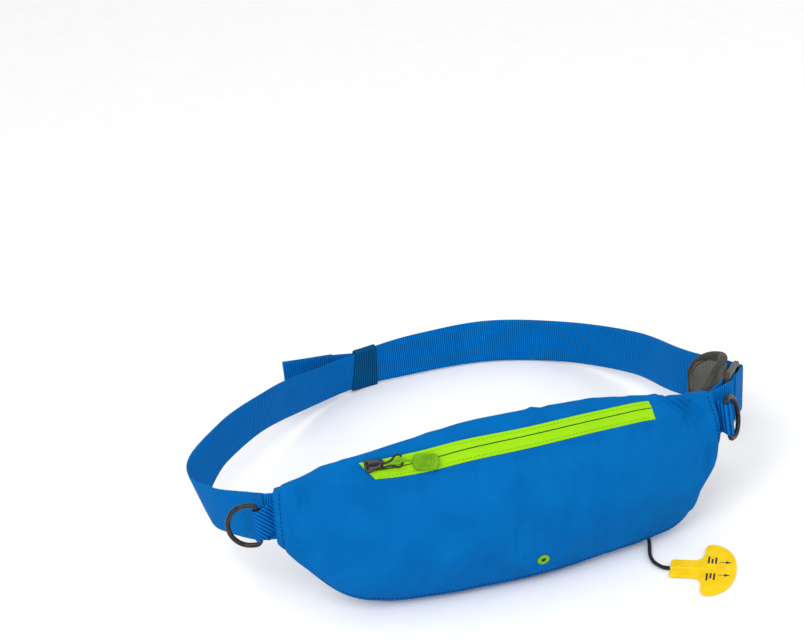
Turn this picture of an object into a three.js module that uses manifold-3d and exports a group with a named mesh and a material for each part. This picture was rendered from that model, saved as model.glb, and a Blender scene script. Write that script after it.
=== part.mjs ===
// Belt pack with an inflatable float inside: a zipped pouch on a webbing waist belt, standing on a table.
// Millimetres, +Z up. The pouch's front faces -Y and its length runs along X.
import * as THREE from 'three';
import Module from 'manifold-3d';
import { mergeVertices } from 'three/addons/utils/BufferGeometryUtils.js';

// Pouch
const pouchLength = 366;
const pouchHeight = 137;
const pouchDepth = 52;
const frontShare = 0.55;      // share of the depth that bulges to the front
const pouchBow = 26;          // how far the middle stands forward of the ends
const pouchLean = 12;         // degrees, top towards the wearer
const clothWall = 1.5;
const seamGap = 0.3;
const floatGap = 0.8;         // packed float to the cloth

// Webbing
const webbingWidth = 38;
const webbingThick = 1.6;
const loopWidth = 450;
const loopDepth = 317;
const layerGap = 0.6;         // between the belt and the doubled-back layer
const tuck = 5;               // how far each webbing end reaches into the pouch's end seam
const keeperWidth = 24;
const keeperWall = 0.9;
const hemLength = 46;
const hemThick = 1.2;

// Ring straps and rings
const strapWidth = 25;
const strapThick = 1.3;
const strapReach = 14.5;      // end seam to the ring's straight bar
const ringHeight = 37;
const ringDepth = 28;
const ringWire = 4;
const ringPlay = 0.9;        // strap loop to the bar

// Buckle
const anchorReach = 24.5;     // end seam to the buckle's near bar
const barSpacing = 22.5;
const barWidth = 5;
const buckleHeight = 49;
const buckleThick = 4.6;
const buckleRound = 5;
const buckleTurn = 58;        // degrees from +X towards the back
const buckleDip = 17;         // degrees down towards the back

// Comfort pad behind the buckle
const padHeight = 56;
const padThick = 7;

// Zip
const tapeThick = 0.9;
const coilWidth = 3.2;
const sliderLength = 15;
const sliderWidth = 9;
const sliderThick = 3;
const bailWire = 1.6;
const loopCord = 2.2;
const toggleLength = 21;
const toggleWidth = 13;
const toggleThick = 4;
const toggleRound = 3.5;

// Eyelet
const eyeletOuter = 9.6;
const eyeletHole = 4;
const eyeletThick = 1;

// Pull cord and tab
const cordWidth = 3;
const tabThick = 2.6;
const stemWidth = 21.5;
const stemLength = 17;
const lobeSpan = 67;
const tabLength = 51;

// Pouch outline from the left end seam (0) to the right one (1): top and bottom edge as shares of pouchHeight
const pouchRows = [
  { along: 0, top: 0.736, bottom: 0.44 },
  { along: 0.05, top: 0.79, bottom: 0.275 },
  { along: 0.12, top: 0.86, bottom: 0.095 },
  { along: 0.2, top: 0.896, bottom: 0.027 },
  { along: 0.3, top: 0.94, bottom: 0.009 },
  { along: 0.42, top: 0.981, bottom: 0.007 },
  { along: 0.55, top: 0.976, bottom: 0.004 },
  { along: 0.68, top: 0.946, bottom: 0.014 },
  { along: 0.8, top: 0.886, bottom: 0.022 },
  { along: 0.88, top: 0.822, bottom: 0.055 },
  { along: 0.95, top: 0.765, bottom: 0.275 },
  { along: 1, top: 0.736, bottom: 0.45 },
];

// Belt centre line after the left end seam: across as a share of half loopWidth, back as a share of loopDepth,
// rise as a share of the end seams' height above a belt that stands on the table, lean in degrees inwards
const beltRows = [
  { across: -0.87, back: 0.103, rise: 0.92, lean: 14 },
  { across: -0.964, back: 0.203, rise: 0.8, lean: 1 },
  { across: -1, back: 0.329, rise: 0.66, lean: -15 },
  { across: -0.969, back: 0.45, rise: 0.55, lean: -18 },
  { across: -0.836, back: 0.583, rise: 0.57, lean: -3 },
  { across: -0.63, back: 0.719, rise: 0.51, lean: 6 },
  { across: -0.402, back: 0.883, rise: 0.19, lean: 8 },
  { across: -0.181, back: 0.978, rise: 0.04, lean: 9 },
  { across: 0.082, back: 1, rise: 0.025, lean: -4 },
  { across: 0.361, back: 0.989, rise: 0.01, lean: -12 },
  { across: 0.621, back: 0.895, rise: 0.02, lean: -8 },
  { across: 0.821, back: 0.684, rise: 0.226, lean: -11 },
  { across: 0.877, back: 0.422, rise: 0.582, lean: -16 },
];
const keeperAt = 0.577;       // keeper's middle, as a share of the belt rows' run

// Free tail past the keeper, same shares as the belt
const tailRows = [
  { across: -0.293, back: 0.977, rise: 0.085 },
  { across: -0.395, back: 0.968, rise: 0.13 },
  { across: -0.492, back: 0.958, rise: 0.18 },
];

// Comfort pad's centre line from the pouch's right end: shares of padHeight, height as the pad's own share
const padRows = [
  { right: -0.02, back: 0.2, rise: 0, height: 0.66 },
  { right: 0.26, back: 0.5, rise: 0, height: 0.82 },
  { right: 0.45, back: 0.72, rise: -0.03, height: 0.9 },
  { right: 0.585, back: 0.98, rise: -0.09, height: 0.9 },
  { right: 0.46, back: 1.2, rise: -0.13, height: 0.82 },
  { right: 0.28, back: 1.3, rise: -0.16, height: 0.62 },
  { right: 0.17, back: 1.28, rise: -0.17, height: 0.34 },
];

// Zip line on the front: along the pouch, then upper edge, teeth and lower edge as shares of the pouch's height
const zipRows = [
  { along: 0.19, upper: 0.963, teeth: 0.907, lower: 0.852 },
  { along: 0.26, upper: 0.945, teeth: 0.888, lower: 0.832 },
  { along: 0.35, upper: 0.932, teeth: 0.879, lower: 0.818 },
  { along: 0.52, upper: 0.922, teeth: 0.879, lower: 0.816 },
  { along: 0.7, upper: 0.938, teeth: 0.893, lower: 0.829 },
  { along: 0.842, upper: 0.968, teeth: 0.922, lower: 0.85 },
];
const zipSlant = 0.02;        // the left end is cut on the slant

// Where the small things sit on the front: along the pouch and up it, the toggle's ends in mm from the slider
const sliderSeat = { along: 0.218, up: 0.9 };
const toggleSeat = { left: 28.9, leftUp: 0.888, right: 47.6, rightUp: 0.853 };
const eyeletSeat = { along: 0.537, up: 0.146 };

// Pull cord's route on the table, chosen by hand: right, back, up
const cordRoute = [
  [108.4, -19.2, 3.6],
  [107.2, -23.5, 2.4],
  [105.6, -28, 1.8],
  [103.9, -32.8, 1.6],
  [102.4, -37.5, 1.6],
  [101.6, -42.2, 1.6],
  [101.6, -47.2, 1.6],
  [103, -52.2, 1.6],
  [105.9, -57.4, 1.6],
  [109.8, -60.3, 1.6],
];
const tabTurn = -27;          // degrees, stem to lobes

const up = new THREE.Vector3(0, 0, 1);
const rad = THREE.MathUtils.degToRad;
const wasm = await Module();
wasm.setup();

function smooth(x) {
  return THREE.MathUtils.smoothstep(x, 0, 1);
}

// Smooth reading of one column of a table at a place along it
function readTable(rows, column, at) {
  const last = rows.length - 1;
  const slope = (i) => {
    const a = rows[Math.max(i - 1, 0)];
    const b = rows[Math.min(i + 1, last)];
    return (b[column] - a[column]) / (b.along - a.along);
  };
  let k = 0;
  while (k < last - 1 && at > rows[k + 1].along) {
    k += 1;
  }
  const width = rows[k + 1].along - rows[k].along;
  const u = THREE.MathUtils.clamp((at - rows[k].along) / width, 0, 1);
  const u2 = u * u;
  const u3 = u2 * u;
  return (2 * u3 - 3 * u2 + 1) * rows[k][column] + (u3 - 2 * u2 + u) * width * slope(k)
    + (3 * u2 - 2 * u3) * rows[k + 1][column] + (u3 - u2) * width * slope(k + 1);
}

function toGeometry(positions, index) {
  const geometry = new THREE.BufferGeometry();
  geometry.setAttribute('position', new THREE.Float32BufferAttribute(positions, 3));
  let volume = 0;
  const at = (i) => new THREE.Vector3().fromArray(positions, 3 * i);
  for (let i = 0; i < index.length; i += 3) {
    volume += at(index[i]).dot(at(index[i + 1]).cross(at(index[i + 2])));
  }
  if (volume < 0) {
    for (let i = 0; i < index.length; i += 3) {
      [index[i], index[i + 1]] = [index[i + 1], index[i]];
    }
  }
  geometry.setIndex(index);
  return geometry;
}

// Closed body between two grids of points, one over the other
function wallBody(outer, inner, closedColumns = false) {
  const rows = outer.length;
  const columns = outer[0].length;
  const positions = [];
  const index = [];
  const put = (grid) => {
    const start = positions.length / 3;
    grid.forEach((row) => row.forEach((p) => positions.push(p.x, p.y, p.z)));
    return (i, j) => start + i * columns + (j % columns);
  };
  const a = put(outer);
  const b = put(inner);
  const quad = (p, q, r, s) => index.push(p, q, r, p, r, s);
  const lastColumn = closedColumns ? columns : columns - 1;
  const lastRow = rows - 1;
  for (let j = 0; j < lastColumn; j += 1) {
    for (let i = 0; i < lastRow; i += 1) {
      quad(a(i, j), a(i, j + 1), a(i + 1, j + 1), a(i + 1, j));
      quad(b(i, j), b(i + 1, j), b(i + 1, j + 1), b(i, j + 1));
    }
    quad(a(0, j), b(0, j), b(0, j + 1), a(0, j + 1));
    quad(a(lastRow, j), a(lastRow, j + 1), b(lastRow, j + 1), b(lastRow, j));
  }
  if (!closedColumns) {
    for (let i = 0; i < lastRow; i += 1) {
      quad(a(i, 0), a(i + 1, 0), b(i + 1, 0), b(i, 0));
      quad(a(i, lastColumn), b(i, lastColumn), b(i + 1, lastColumn), a(i + 1, lastColumn));
    }
  }
  return toGeometry(positions, index);
}

// Closed body through rings of points, with flat ends
function loftBody(rings) {
  const count = rings[0].length;
  const positions = [];
  const index = [];
  rings.forEach((ring) => ring.forEach((p) => positions.push(p.x, p.y, p.z)));
  for (let i = 0; i < rings.length - 1; i += 1) {
    for (let j = 0; j < count; j += 1) {
      const k = (j + 1) % count;
      index.push(i * count + j, i * count + k, (i + 1) * count + k);
      index.push(i * count + j, (i + 1) * count + k, (i + 1) * count + j);
    }
  }
  const cap = (row, flip) => {
    const middle = new THREE.Vector3();
    rings[row].forEach((p) => middle.add(p));
    middle.divideScalar(count);
    const tip = positions.length / 3;
    positions.push(middle.x, middle.y, middle.z);
    for (let j = 0; j < count; j += 1) {
      const p = row * count + j;
      const q = row * count + ((j + 1) % count);
      index.push(...(flip ? [q, p, tip] : [p, q, tip]));
    }
  };
  cap(0, true);
  cap(rings.length - 1, false);
  return toGeometry(positions, index);
}

// Wire bent into a closed flat ring
function ringBody(points, across, radius, sides) {
  const count = points.length;
  const positions = [];
  const index = [];
  points.forEach((p, i) => {
    const ahead = points[(i + 1) % count].clone().sub(points[(i + count - 1) % count]).normalize();
    const out = ahead.clone().cross(across).normalize();
    for (let j = 0; j < sides; j += 1) {
      const turn = (2 * Math.PI * (j + 0.5)) / sides;
      const q = p.clone().addScaledVector(out, radius * Math.cos(turn)).addScaledVector(across, radius * Math.sin(turn));
      positions.push(q.x, q.y, q.z);
    }
  });
  for (let i = 0; i < count; i += 1) {
    for (let j = 0; j < sides; j += 1) {
      const n = (i + 1) % count;
      const k = (j + 1) % sides;
      index.push(i * sides + j, i * sides + k, n * sides + k);
      index.push(i * sides + j, n * sides + k, n * sides + j);
    }
  }
  return toGeometry(positions, index);
}

// Flat webbing along stations, each a middle point and the direction of its width
function webbingBody(stations, width, thick) {
  const outer = [];
  const inner = [];
  stations.forEach((station, i) => {
    const before = stations[Math.max(i - 1, 0)].p;
    const after = stations[Math.min(i + 1, stations.length - 1)].p;
    const ahead = after.clone().sub(before).normalize();
    const side = ahead.cross(station.w).normalize();
    const edge = (wide, deep) => station.p.clone().addScaledVector(station.w, wide * width / 2)
      .addScaledVector(side, deep * (station.thick ?? thick) / 2);
    outer.push([edge(-1, 1), edge(1, 1)]);
    inner.push([edge(-1, -1), edge(1, -1)]);
  });
  return wallBody(outer, inner);
}

function polygonShape(count, radius) {
  const points = [];
  for (let i = 0; i < count; i += 1) {
    const turn = (2 * Math.PI * i) / count;
    points.push(new THREE.Vector2(radius * Math.cos(turn), radius * Math.sin(turn)));
  }
  return new THREE.Shape(points);
}

function tubeBody(points, width, sides, steps) {
  const path = new THREE.CatmullRomCurve3(points, false, 'centripetal');
  return new THREE.ExtrudeGeometry(polygonShape(sides, width / 2), { steps, bevelEnabled: false, extrudePath: path });
}

function plateBody(shape, thick, curveSegments = 3) {
  const geometry = new THREE.ExtrudeGeometry(shape, { depth: thick, bevelEnabled: false, curveSegments });
  geometry.translate(0, 0, -thick / 2);
  return geometry;
}

function toManifold(geometry) {
  const plain = geometry.clone();
  plain.deleteAttribute('normal');
  plain.deleteAttribute('uv');
  const merged = mergeVertices(plain, 1e-4);
  return new wasm.Manifold(new wasm.Mesh({
    numProp: 3,
    vertProperties: new Float32Array(merged.attributes.position.array),
    triVerts: new Uint32Array(merged.index.array),
  }));
}

function cutFrom(geometry, tool) {
  const mesh = toManifold(geometry).subtract(toManifold(tool)).getMesh();
  return toGeometry(Array.from(mesh.vertProperties), Array.from(mesh.triVerts));
}

// Frame of the pouch at a place along it: foot, length, height and front directions
function pouchFrame(along) {
  const bow = 1 - (2 * along - 1) ** 2;
  const foot = new THREE.Vector3((along - 0.5) * pouchLength, -pouchBow * bow, clothWall);
  const length = new THREE.Vector3(pouchLength, 4 * pouchBow * (2 * along - 1), 0).normalize();
  const level = new THREE.Vector3(length.y, -length.x, 0);
  const height = up.clone().multiplyScalar(Math.cos(rad(pouchLean))).addScaledVector(level, -Math.sin(rad(pouchLean)));
  const front = level.clone().multiplyScalar(Math.cos(rad(pouchLean))).addScaledVector(up, Math.sin(rad(pouchLean)));
  return { foot, length, height, front };
}

const slotHalf = (2 * webbingThick + 2 * strapThick + 5 * seamGap) / 2;
const slotRun = 0.02;
const slotEnd = 0.065;

// Point on the cloth's inner face, at a share along and up; side 1 is the front sheet, -1 the back one
function clothPoint(along, high, side) {
  const { foot, height, front } = pouchFrame(along);
  const top = readTable(pouchRows, 'top', along) * pouchHeight;
  const bottom = readTable(pouchRows, 'bottom', along) * pouchHeight;
  const fullness = 0.14 + 0.86 * Math.max(Math.sin(Math.PI * along), 0) ** 0.6;
  const profile = Math.max(Math.sin(Math.PI * Math.max(high, 0) ** 0.85), 0) ** 0.72;
  const fromEnd = Math.min(along, 1 - along);
  const slot = slotHalf * (1 - smooth((fromEnd - slotRun) / (slotEnd - slotRun)));
  const share = side > 0 ? frontShare : 1 - frontShare;
  const out = Math.max(seamGap / 2, slot) + share * pouchDepth * fullness * profile;
  return foot.addScaledVector(height, bottom + (top - bottom) * high).addScaledVector(front, side * out);
}

function clothNormal(along, high, side) {
  const step = 0.012;
  const a = THREE.MathUtils.clamp(along, step, 1 - step);
  const h = THREE.MathUtils.clamp(high, step, 1 - step);
  const run = clothPoint(a + step, h, side).sub(clothPoint(a - step, h, side));
  const rise = clothPoint(a, h + step, side).sub(clothPoint(a, h - step, side));
  return run.cross(rise).normalize().multiplyScalar(side);
}

function onCloth(along, high, off, side = 1) {
  return clothPoint(along, high, side).addScaledVector(clothNormal(along, high, side), off);
}

const clothRows = 34;
const clothColumns = 14;
const alongAt = (i) => {
  const even = i / clothRows;
  return even - 0.055 * Math.sin(2 * Math.PI * even);
};
const highAt = (j) => {
  const even = j / clothColumns;
  return even - 0.1 * Math.sin(2 * Math.PI * even);
};

function grid(rows, columns, pick) {
  return Array.from({ length: rows + 1 }, (_, i) => Array.from({ length: columns + 1 }, (__, j) => pick(i, j)));
}

function clothSheet(side) {
  const outer = grid(clothRows, clothColumns, (i, j) => onCloth(alongAt(i), highAt(j), clothWall, side));
  const inner = grid(clothRows, clothColumns, (i, j) => onCloth(alongAt(i), highAt(j), 0, side));
  return wallBody(outer, inner);
}

function packedFloat() {
  const rings = [];
  const margin = 2;
  for (let i = 4; i <= clothRows - 4; i += 1) {
    const ring = [];
    for (let j = margin; j <= clothColumns - margin; j += 1) {
      ring.push(onCloth(alongAt(i), highAt(j), -floatGap, 1));
    }
    for (let j = clothColumns - margin; j >= margin; j -= 1) {
      ring.push(onCloth(alongAt(i), highAt(j), -floatGap, -1));
    }
    rings.push(ring);
  }
  return loftBody(rings);
}

// End seams: middle point, outward direction and layer offsets
function endSeam(along) {
  const { foot, length, height, front } = pouchFrame(along);
  const middle = (readTable(pouchRows, 'top', along) + readTable(pouchRows, 'bottom', along)) / 2 * pouchHeight;
  const centre = foot.addScaledVector(height, middle);
  const out = length.clone().multiplyScalar(along < 0.5 ? -1 : 1);
  return { centre, out, height, front };
}
const leftSeam = endSeam(0);
const rightSeam = endSeam(1);
const strapFrontLayer = slotHalf - seamGap - strapThick / 2;
const strapBackLayer = strapFrontLayer - strapThick - seamGap;
const webbingFrontLayer = strapBackLayer - (strapThick + webbingThick) / 2 - seamGap;
const webbingBackLayer = webbingFrontLayer - webbingThick - seamGap;

function fromSeam(seam, out, layer, rise = 0) {
  return seam.centre.clone().addScaledVector(seam.out, out).addScaledVector(seam.front, layer)
    .addScaledVector(seam.height, rise);
}

// Buckle frame
function heading(turn, dip) {
  return new THREE.Vector3(
    Math.cos(rad(turn)) * Math.cos(rad(dip)),
    Math.sin(rad(turn)) * Math.cos(rad(dip)),
    -Math.sin(rad(dip)),
  );
}
const buckleAlong = heading(buckleTurn, buckleDip);
const buckleOut = buckleAlong.clone().cross(up).normalize();
const buckleUp = buckleOut.clone().cross(buckleAlong).normalize();
const anchorTurn = 37;
const nearBar = rightSeam.centre.clone().addScaledVector(heading(anchorTurn, 2), anchorReach);
const barAt = (n) => nearBar.clone().addScaledVector(buckleAlong, n * barSpacing);
const wrapOff = buckleThick / 2 + layerGap + webbingThick / 2;
const turnOff = barWidth / 2 + webbingThick / 2 + 1.1;

// Half turn of webbing round one of the buckle's flat bars, from one face to the other
function barBend(centre, facing, towards) {
  const around = 10;
  return Array.from({ length: around + 1 }, (_, i) => {
    const turn = Math.PI * (i / around);
    const square = (x) => Math.sign(x) * Math.abs(x) ** 0.55;
    return centre.clone().addScaledVector(facing, wrapOff * square(Math.cos(turn)))
      .addScaledVector(towards, turnOff * square(Math.sin(turn)));
  });
}

const bendSpread = 0.035;     // share of the belt's run over which it turns into the buckle's plane

// Place on the loop from a row's shares
function loopPlace(row) {
  const endRise = leftSeam.centre.z - webbingWidth / 2;
  return new THREE.Vector3(
    row.across * loopWidth / 2,
    row.back * loopDepth,
    webbingWidth / 2 + row.rise * endRise,
  );
}

// Belt: path of the load layer, then round the middle bar and back outside it
function beltStations() {
  const rows = beltRows.map((row) => ({ p: loopPlace(row), lean: row.lean }));
  const points = [fromSeam(leftSeam, 8, webbingFrontLayer), ...rows.map((row) => row.p),
    barAt(2).addScaledVector(buckleOut, -wrapOff).addScaledVector(buckleAlong, 8)];
  const path = new THREE.CatmullRomCurve3(points, false, 'centripetal');
  const leans = [pouchLean, ...rows.map((row) => row.lean), 0];
  const steps = 54;
  const stations = [];
  for (let i = 0; i <= steps; i += 1) {
    const u = i / steps;
    const p = path.getPoint(u);
    const ahead = path.getTangent(u);
    const run = u * (points.length - 1);
    const k = Math.min(Math.floor(run), points.length - 2);
    const lean = rad(THREE.MathUtils.lerp(leans[k], leans[k + 1], smooth(run - k)));
    const inward = ahead.clone().cross(up).normalize();
    const upright = inward.clone().cross(ahead).normalize();
    const w = upright.multiplyScalar(Math.cos(lean)).addScaledVector(inward, Math.sin(lean));
    stations.push({ u, p, w, ahead, inward: ahead.clone().cross(w).normalize() });
  }
  stations[0].w = leftSeam.height.clone();
  stations.filter((station) => station.u > 1 - bendSpread).forEach((station) => {
    const share = smooth((station.u - 1 + bendSpread) / bendSpread);
    station.w.lerp(buckleUp, share).normalize();
    station.inward.lerp(buckleOut.clone().negate(), share).normalize();
  });
  return stations;
}

const loadLayer = beltStations();
const beltLength = loadLayer.reduce((sum, station, i) => sum + (i ? station.p.distanceTo(loadLayer[i - 1].p) : 0), 0);
const buckleSpread = 0.066;   // share of the belt's run over which the layers close up
const keeperHalf = keeperWidth / 2 / beltLength;

function beltWebbing() {
  const start = [tuck, tuck / 2, -2].map((inside) => ({
    p: fromSeam(leftSeam, -inside, webbingFrontLayer),
    w: leftSeam.height,
  }));
  const bend = barBend(barAt(1), buckleOut.clone().negate(), buckleAlong.clone().negate());
  const wrap = [
    barAt(2).addScaledVector(buckleOut, -wrapOff),
    ...bend,
    barAt(2).addScaledVector(buckleOut, wrapOff),
  ].map((p) => ({ p, w: buckleUp }));
  return webbingBody([...start, ...loadLayer, ...wrap, ...outerLayer, ...tail], webbingWidth, webbingThick);
}

// Layer doubled back outside the belt, from the buckle to the keeper
function outerStations() {
  const step = webbingThick + layerGap;
  const tailFrom = beltAt(keeperAt - keeperHalf - 0.002);
  const doubled = [tailFrom, ...loadLayer.filter((station) => station.u > tailFrom.u)].reverse();
  return doubled.map(({ u, p, w, inward }) => {
    const nearBuckle = smooth(1 - (1 - u) / buckleSpread);
    const off = step + (2 * wrapOff - step) * nearBuckle;
    return { p: p.clone().addScaledVector(inward, -off), w };
  });
}

// Free tail, springing straight out of the keeper
function tailStations(from) {
  const path = new THREE.CatmullRomCurve3([from.p, ...tailRows.map(loopPlace)], false, 'centripetal');
  const steps = 6;
  return Array.from({ length: steps }, (_, i) => {
    const u = (i + 1) / steps;
    return { p: path.getPointAt(u), w: from.w.clone().lerp(up, u).normalize(), length: path.getLength() * (1 - u) };
  });
}
const outerLayer = outerStations();
const tail = tailStations(outerLayer[outerLayer.length - 1]);

// Hem folded back along the tail's outer face
function tailHem() {
  const off = (webbingThick + hemThick) / 2 + seamGap;
  const stations = tail.filter((station) => station.length <= hemLength).map((station, i, list) => {
    const next = list[Math.min(i + 1, list.length - 1)];
    const before = list[Math.max(i - 1, 0)];
    const side = next.p.clone().sub(before.p).normalize().cross(station.w).normalize();
    return { p: station.p.clone().addScaledVector(side, off), w: station.w };
  });
  return webbingBody(stations, webbingWidth, hemThick);
}

// Belt between two of its stations
function beltAt(u) {
  const after = loadLayer.findIndex((station) => station.u > u);
  const [a, b] = [loadLayer[after - 1], loadLayer[after]];
  const share = (u - a.u) / (b.u - a.u);
  const mix = (key) => a[key].clone().lerp(b[key], share);
  return { u, p: mix('p'), w: mix('w').normalize(), inward: mix('inward').normalize() };
}

// Elastic keeper round both layers of the belt
function keeperBand() {
  const halfWide = webbingWidth / 2 + seamGap;
  const inSide = webbingThick / 2 + seamGap;
  const outSide = webbingThick / 2 + webbingThick + layerGap + seamGap;
  const [from, to] = [keeperAt - keeperHalf, keeperAt + keeperHalf];
  const cuts = [beltAt(from), ...loadLayer.filter((station) => station.u > from && station.u < to), beltAt(to)];
  const loop = (cut, grow) => [[-1, 1], [1, 1], [1, -1], [-1, -1]].map(([wide, deep]) => cut.p.clone()
    .addScaledVector(cut.w, wide * (halfWide + grow))
    .addScaledVector(cut.inward, deep > 0 ? inSide + grow : -(outSide + grow)));
  return wallBody(cuts.map((cut) => loop(cut, keeperWall)), cuts.map((cut) => loop(cut, 0)), true);
}

// Half turn of strap round a ring's wire
function wireBend(ring, facing, reach) {
  const around = 7;
  return Array.from({ length: around + 1 }, (_, i) => {
    const turn = Math.PI * (i / around);
    return ring.centre.clone().addScaledVector(facing, reach * Math.cos(turn))
      .addScaledVector(ring.towards, reach * Math.sin(turn));
  });
}

// Strap out of the end seam, round a bar and back into the seam
function foldedStrap(seam, bend, w, width, thick, layers, lead) {
  const leg = (layer) => [-tuck, 0, lead].map((out) => ({
    p: fromSeam(seam, out, layer),
    w: seam.height.clone().lerp(w, out > 0 ? 0.25 : 0).normalize(),
  }));
  const turn = bend.map((p) => ({ p, w }));
  return webbingBody([...leg(layers[0]), ...turn, ...leg(layers[1]).reverse()], width, thick);
}

function ringStrap(seam, ring) {
  const facing = ring.towards.clone().cross(ring.w).normalize();
  if (facing.dot(seam.front) < 0) {
    facing.negate();
  }
  const reach = ringWire / 2 + ringPlay + strapThick / 2;
  return foldedStrap(seam, wireBend(ring, facing, reach), ring.w, strapWidth, strapThick,
    [strapFrontLayer, strapBackLayer], 3);
}

function anchorStrap() {
  const beside = (side) => nearBar.clone().addScaledVector(buckleOut, side * wrapOff)
    .addScaledVector(buckleAlong, -barWidth / 2 - layerGap);
  const bend = [beside(1), ...barBend(nearBar, buckleOut, buckleAlong), beside(-1)];
  return foldedStrap(rightSeam, bend, buckleUp, webbingWidth, webbingThick, [webbingFrontLayer, webbingBackLayer], 4);
}

// D-ring: bar centre, bar direction and the way its curved side points
function ringFrame(seam, turn, reach, drop, lean, pointing) {
  const centre = fromSeam(seam, 0, (strapFrontLayer + strapBackLayer) / 2)
    .addScaledVector(heading(turn, 0), reach).addScaledVector(up, -drop);
  const g = new THREE.Vector3(...pointing).normalize();
  const w = seam.height.clone().applyAxisAngle(new THREE.Vector3(0, 1, 0), rad(lean));
  w.addScaledVector(g, -w.dot(g)).normalize();
  const towards = heading(turn, 0);
  towards.addScaledVector(w, -towards.dot(w)).normalize();
  return { centre, w, g, towards, across: w.clone().cross(g).normalize() };
}
const leftRing = ringFrame(leftSeam, 182, strapReach, 3, -8, [-0.944, 0.33, -0.03]);
const rightRing = ringFrame(rightSeam, -38, strapReach - 2, 1.5, -2, [0.6, 0.66, -0.28]);

function ringWireBody(frame) {
  const half = (ringHeight - ringWire) / 2;
  const depth = ringDepth - ringWire;
  const corner = 5;
  const bowl = half;
  const path = new THREE.Path();
  path.moveTo(0, -(half - corner));
  path.lineTo(0, half - corner);
  path.quadraticCurveTo(0, half, corner, half);
  path.lineTo(depth - bowl, half);
  path.absarc(depth - bowl, 0, bowl, Math.PI / 2, -Math.PI / 2, true);
  path.lineTo(corner, -half);
  path.quadraticCurveTo(0, -half, 0, -(half - corner));
  const flat = path.getPoints(5);
  const outline = flat.filter((p, i) => i === 0 || p.distanceTo(flat[i - 1]) > 0.2);
  if (outline[0].distanceTo(outline[outline.length - 1]) < 0.2) {
    outline.pop();
  }
  const points = outline.map((p) => frame.centre.clone().addScaledVector(frame.g, p.x).addScaledVector(frame.w, p.y));
  return ringBody(points, frame.across, ringWire / 2 / Math.cos(Math.PI / 8), 8);
}

// Corner points of a rectangle with rounded corners, none of them twice
function roundedCorners(long, high, round) {
  const steps = 3;
  const points = [];
  [[1, -1, -90], [1, 1, 0], [-1, 1, 90], [-1, -1, 180]].forEach(([x, y, from]) => {
    for (let i = 0; i <= steps; i += 1) {
      const turn = rad(from + 90 * (i / steps));
      points.push(new THREE.Vector2(
        x * (long / 2 - round) + round * Math.cos(turn),
        y * (high / 2 - round) + round * Math.sin(turn),
      ));
    }
  });
  return points;
}

function buckleBody() {
  const shape = new THREE.Shape(roundedCorners(2 * barSpacing + barWidth, buckleHeight, buckleRound));
  [-1, 1].forEach((side) => {
    const slotHigh = webbingWidth / 2 + (side < 0 ? 1 : 1.4);
    const middle = side * barSpacing / 2;
    const halfSlot = (barSpacing - barWidth) / 2;
    shape.holes.push(new THREE.Path([
      new THREE.Vector2(middle - halfSlot, -slotHigh),
      new THREE.Vector2(middle - halfSlot, slotHigh),
      new THREE.Vector2(middle + halfSlot, slotHigh),
      new THREE.Vector2(middle + halfSlot, -slotHigh),
    ]));
  });
  const geometry = plateBody(shape, buckleThick);
  const turn = new THREE.Matrix4().makeBasis(buckleAlong, buckleUp, buckleOut);
  turn.setPosition(barAt(1));
  return geometry.applyMatrix4(turn);
}

function padBody() {
  const foot = rightSeam.centre;
  const outer = [];
  const inner = [];
  const points = padRows.map((row) => new THREE.Vector3(
    foot.x + row.right * padHeight,
    foot.y + row.back * padHeight,
    foot.z + row.rise * padHeight,
  ));
  const path = new THREE.CatmullRomCurve3(points, false, 'centripetal');
  const steps = 14;
  const columns = 8;
  for (let i = 0; i <= steps; i += 1) {
    const u = i / steps;
    const run = u * (padRows.length - 1);
    const k = Math.min(Math.floor(run), padRows.length - 2);
    const high = THREE.MathUtils.lerp(padRows[k].height, padRows[k + 1].height, run - k) * padHeight;
    const side = path.getTangent(u).cross(up).normalize();
    const middle = path.getPoint(u);
    const thin = 1 - 0.55 * u ** 6;
    const line = (sign) => Array.from({ length: columns + 1 }, (_, j) => {
      const v = 2 * j / columns - 1;
      const half = padThick / 2 * thin * (0.35 + 0.65 * Math.sqrt(1 - v * v * 0.94));
      return middle.clone().addScaledVector(up, v * high / 2).addScaledVector(side, sign * half);
    });
    outer.push(line(1));
    inner.push(line(-1));
  }
  return wallBody(outer, inner);
}

// Zip band between two of the zip line's columns
function zipBand(low, high, lowOff, highOff, lift, thick) {
  const first = zipRows[0].along;
  const last = zipRows[zipRows.length - 1].along;
  const steps = 26;
  const columns = 2;
  const place = (off) => grid(steps, columns, (i, j) => {
    const share = j / columns;
    const along = THREE.MathUtils.lerp(first, last, i / steps);
    const from = readTable(zipRows, low, along) + lowOff;
    const to = readTable(zipRows, high, along) + highOff;
    const level = THREE.MathUtils.lerp(from, to, share);
    const slant = zipSlant * (1 - i / steps) ** 8 * (readTable(zipRows, 'upper', along) - level) / 0.11;
    return onCloth(along + slant, level, off);
  });
  return wallBody(place(lift + thick), place(lift));
}
const coilShare = coilWidth / pouchHeight;

// Plate lying on the front, its own X running from one place on the cloth to another
function onFront(geometry, from, to, lift) {
  const middle = { along: (from.along + to.along) / 2, up: (from.up + to.up) / 2 };
  const x = onCloth(to.along, to.up, 0).sub(onCloth(from.along, from.up, 0)).normalize();
  const n = clothNormal(middle.along, middle.up, 1);
  x.addScaledVector(n, -x.dot(n)).normalize();
  const y = n.clone().cross(x);
  const turn = new THREE.Matrix4().makeBasis(x, y, n);
  turn.setPosition(onCloth(middle.along, middle.up, clothWall + lift));
  return geometry.applyMatrix4(turn);
}
const zipLift = clothWall + seamGap;
const zipTop = seamGap + tapeThick;
const coilTop = zipTop + 1.1;
const sliderLift = coilTop + seamGap + sliderThick / 2;
const sliderTo = { along: sliderSeat.along + 0.04, up: sliderSeat.up - 0.006 };
const sliderFrom = { along: sliderSeat.along - 0.04, up: sliderSeat.up + 0.006 };
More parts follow.
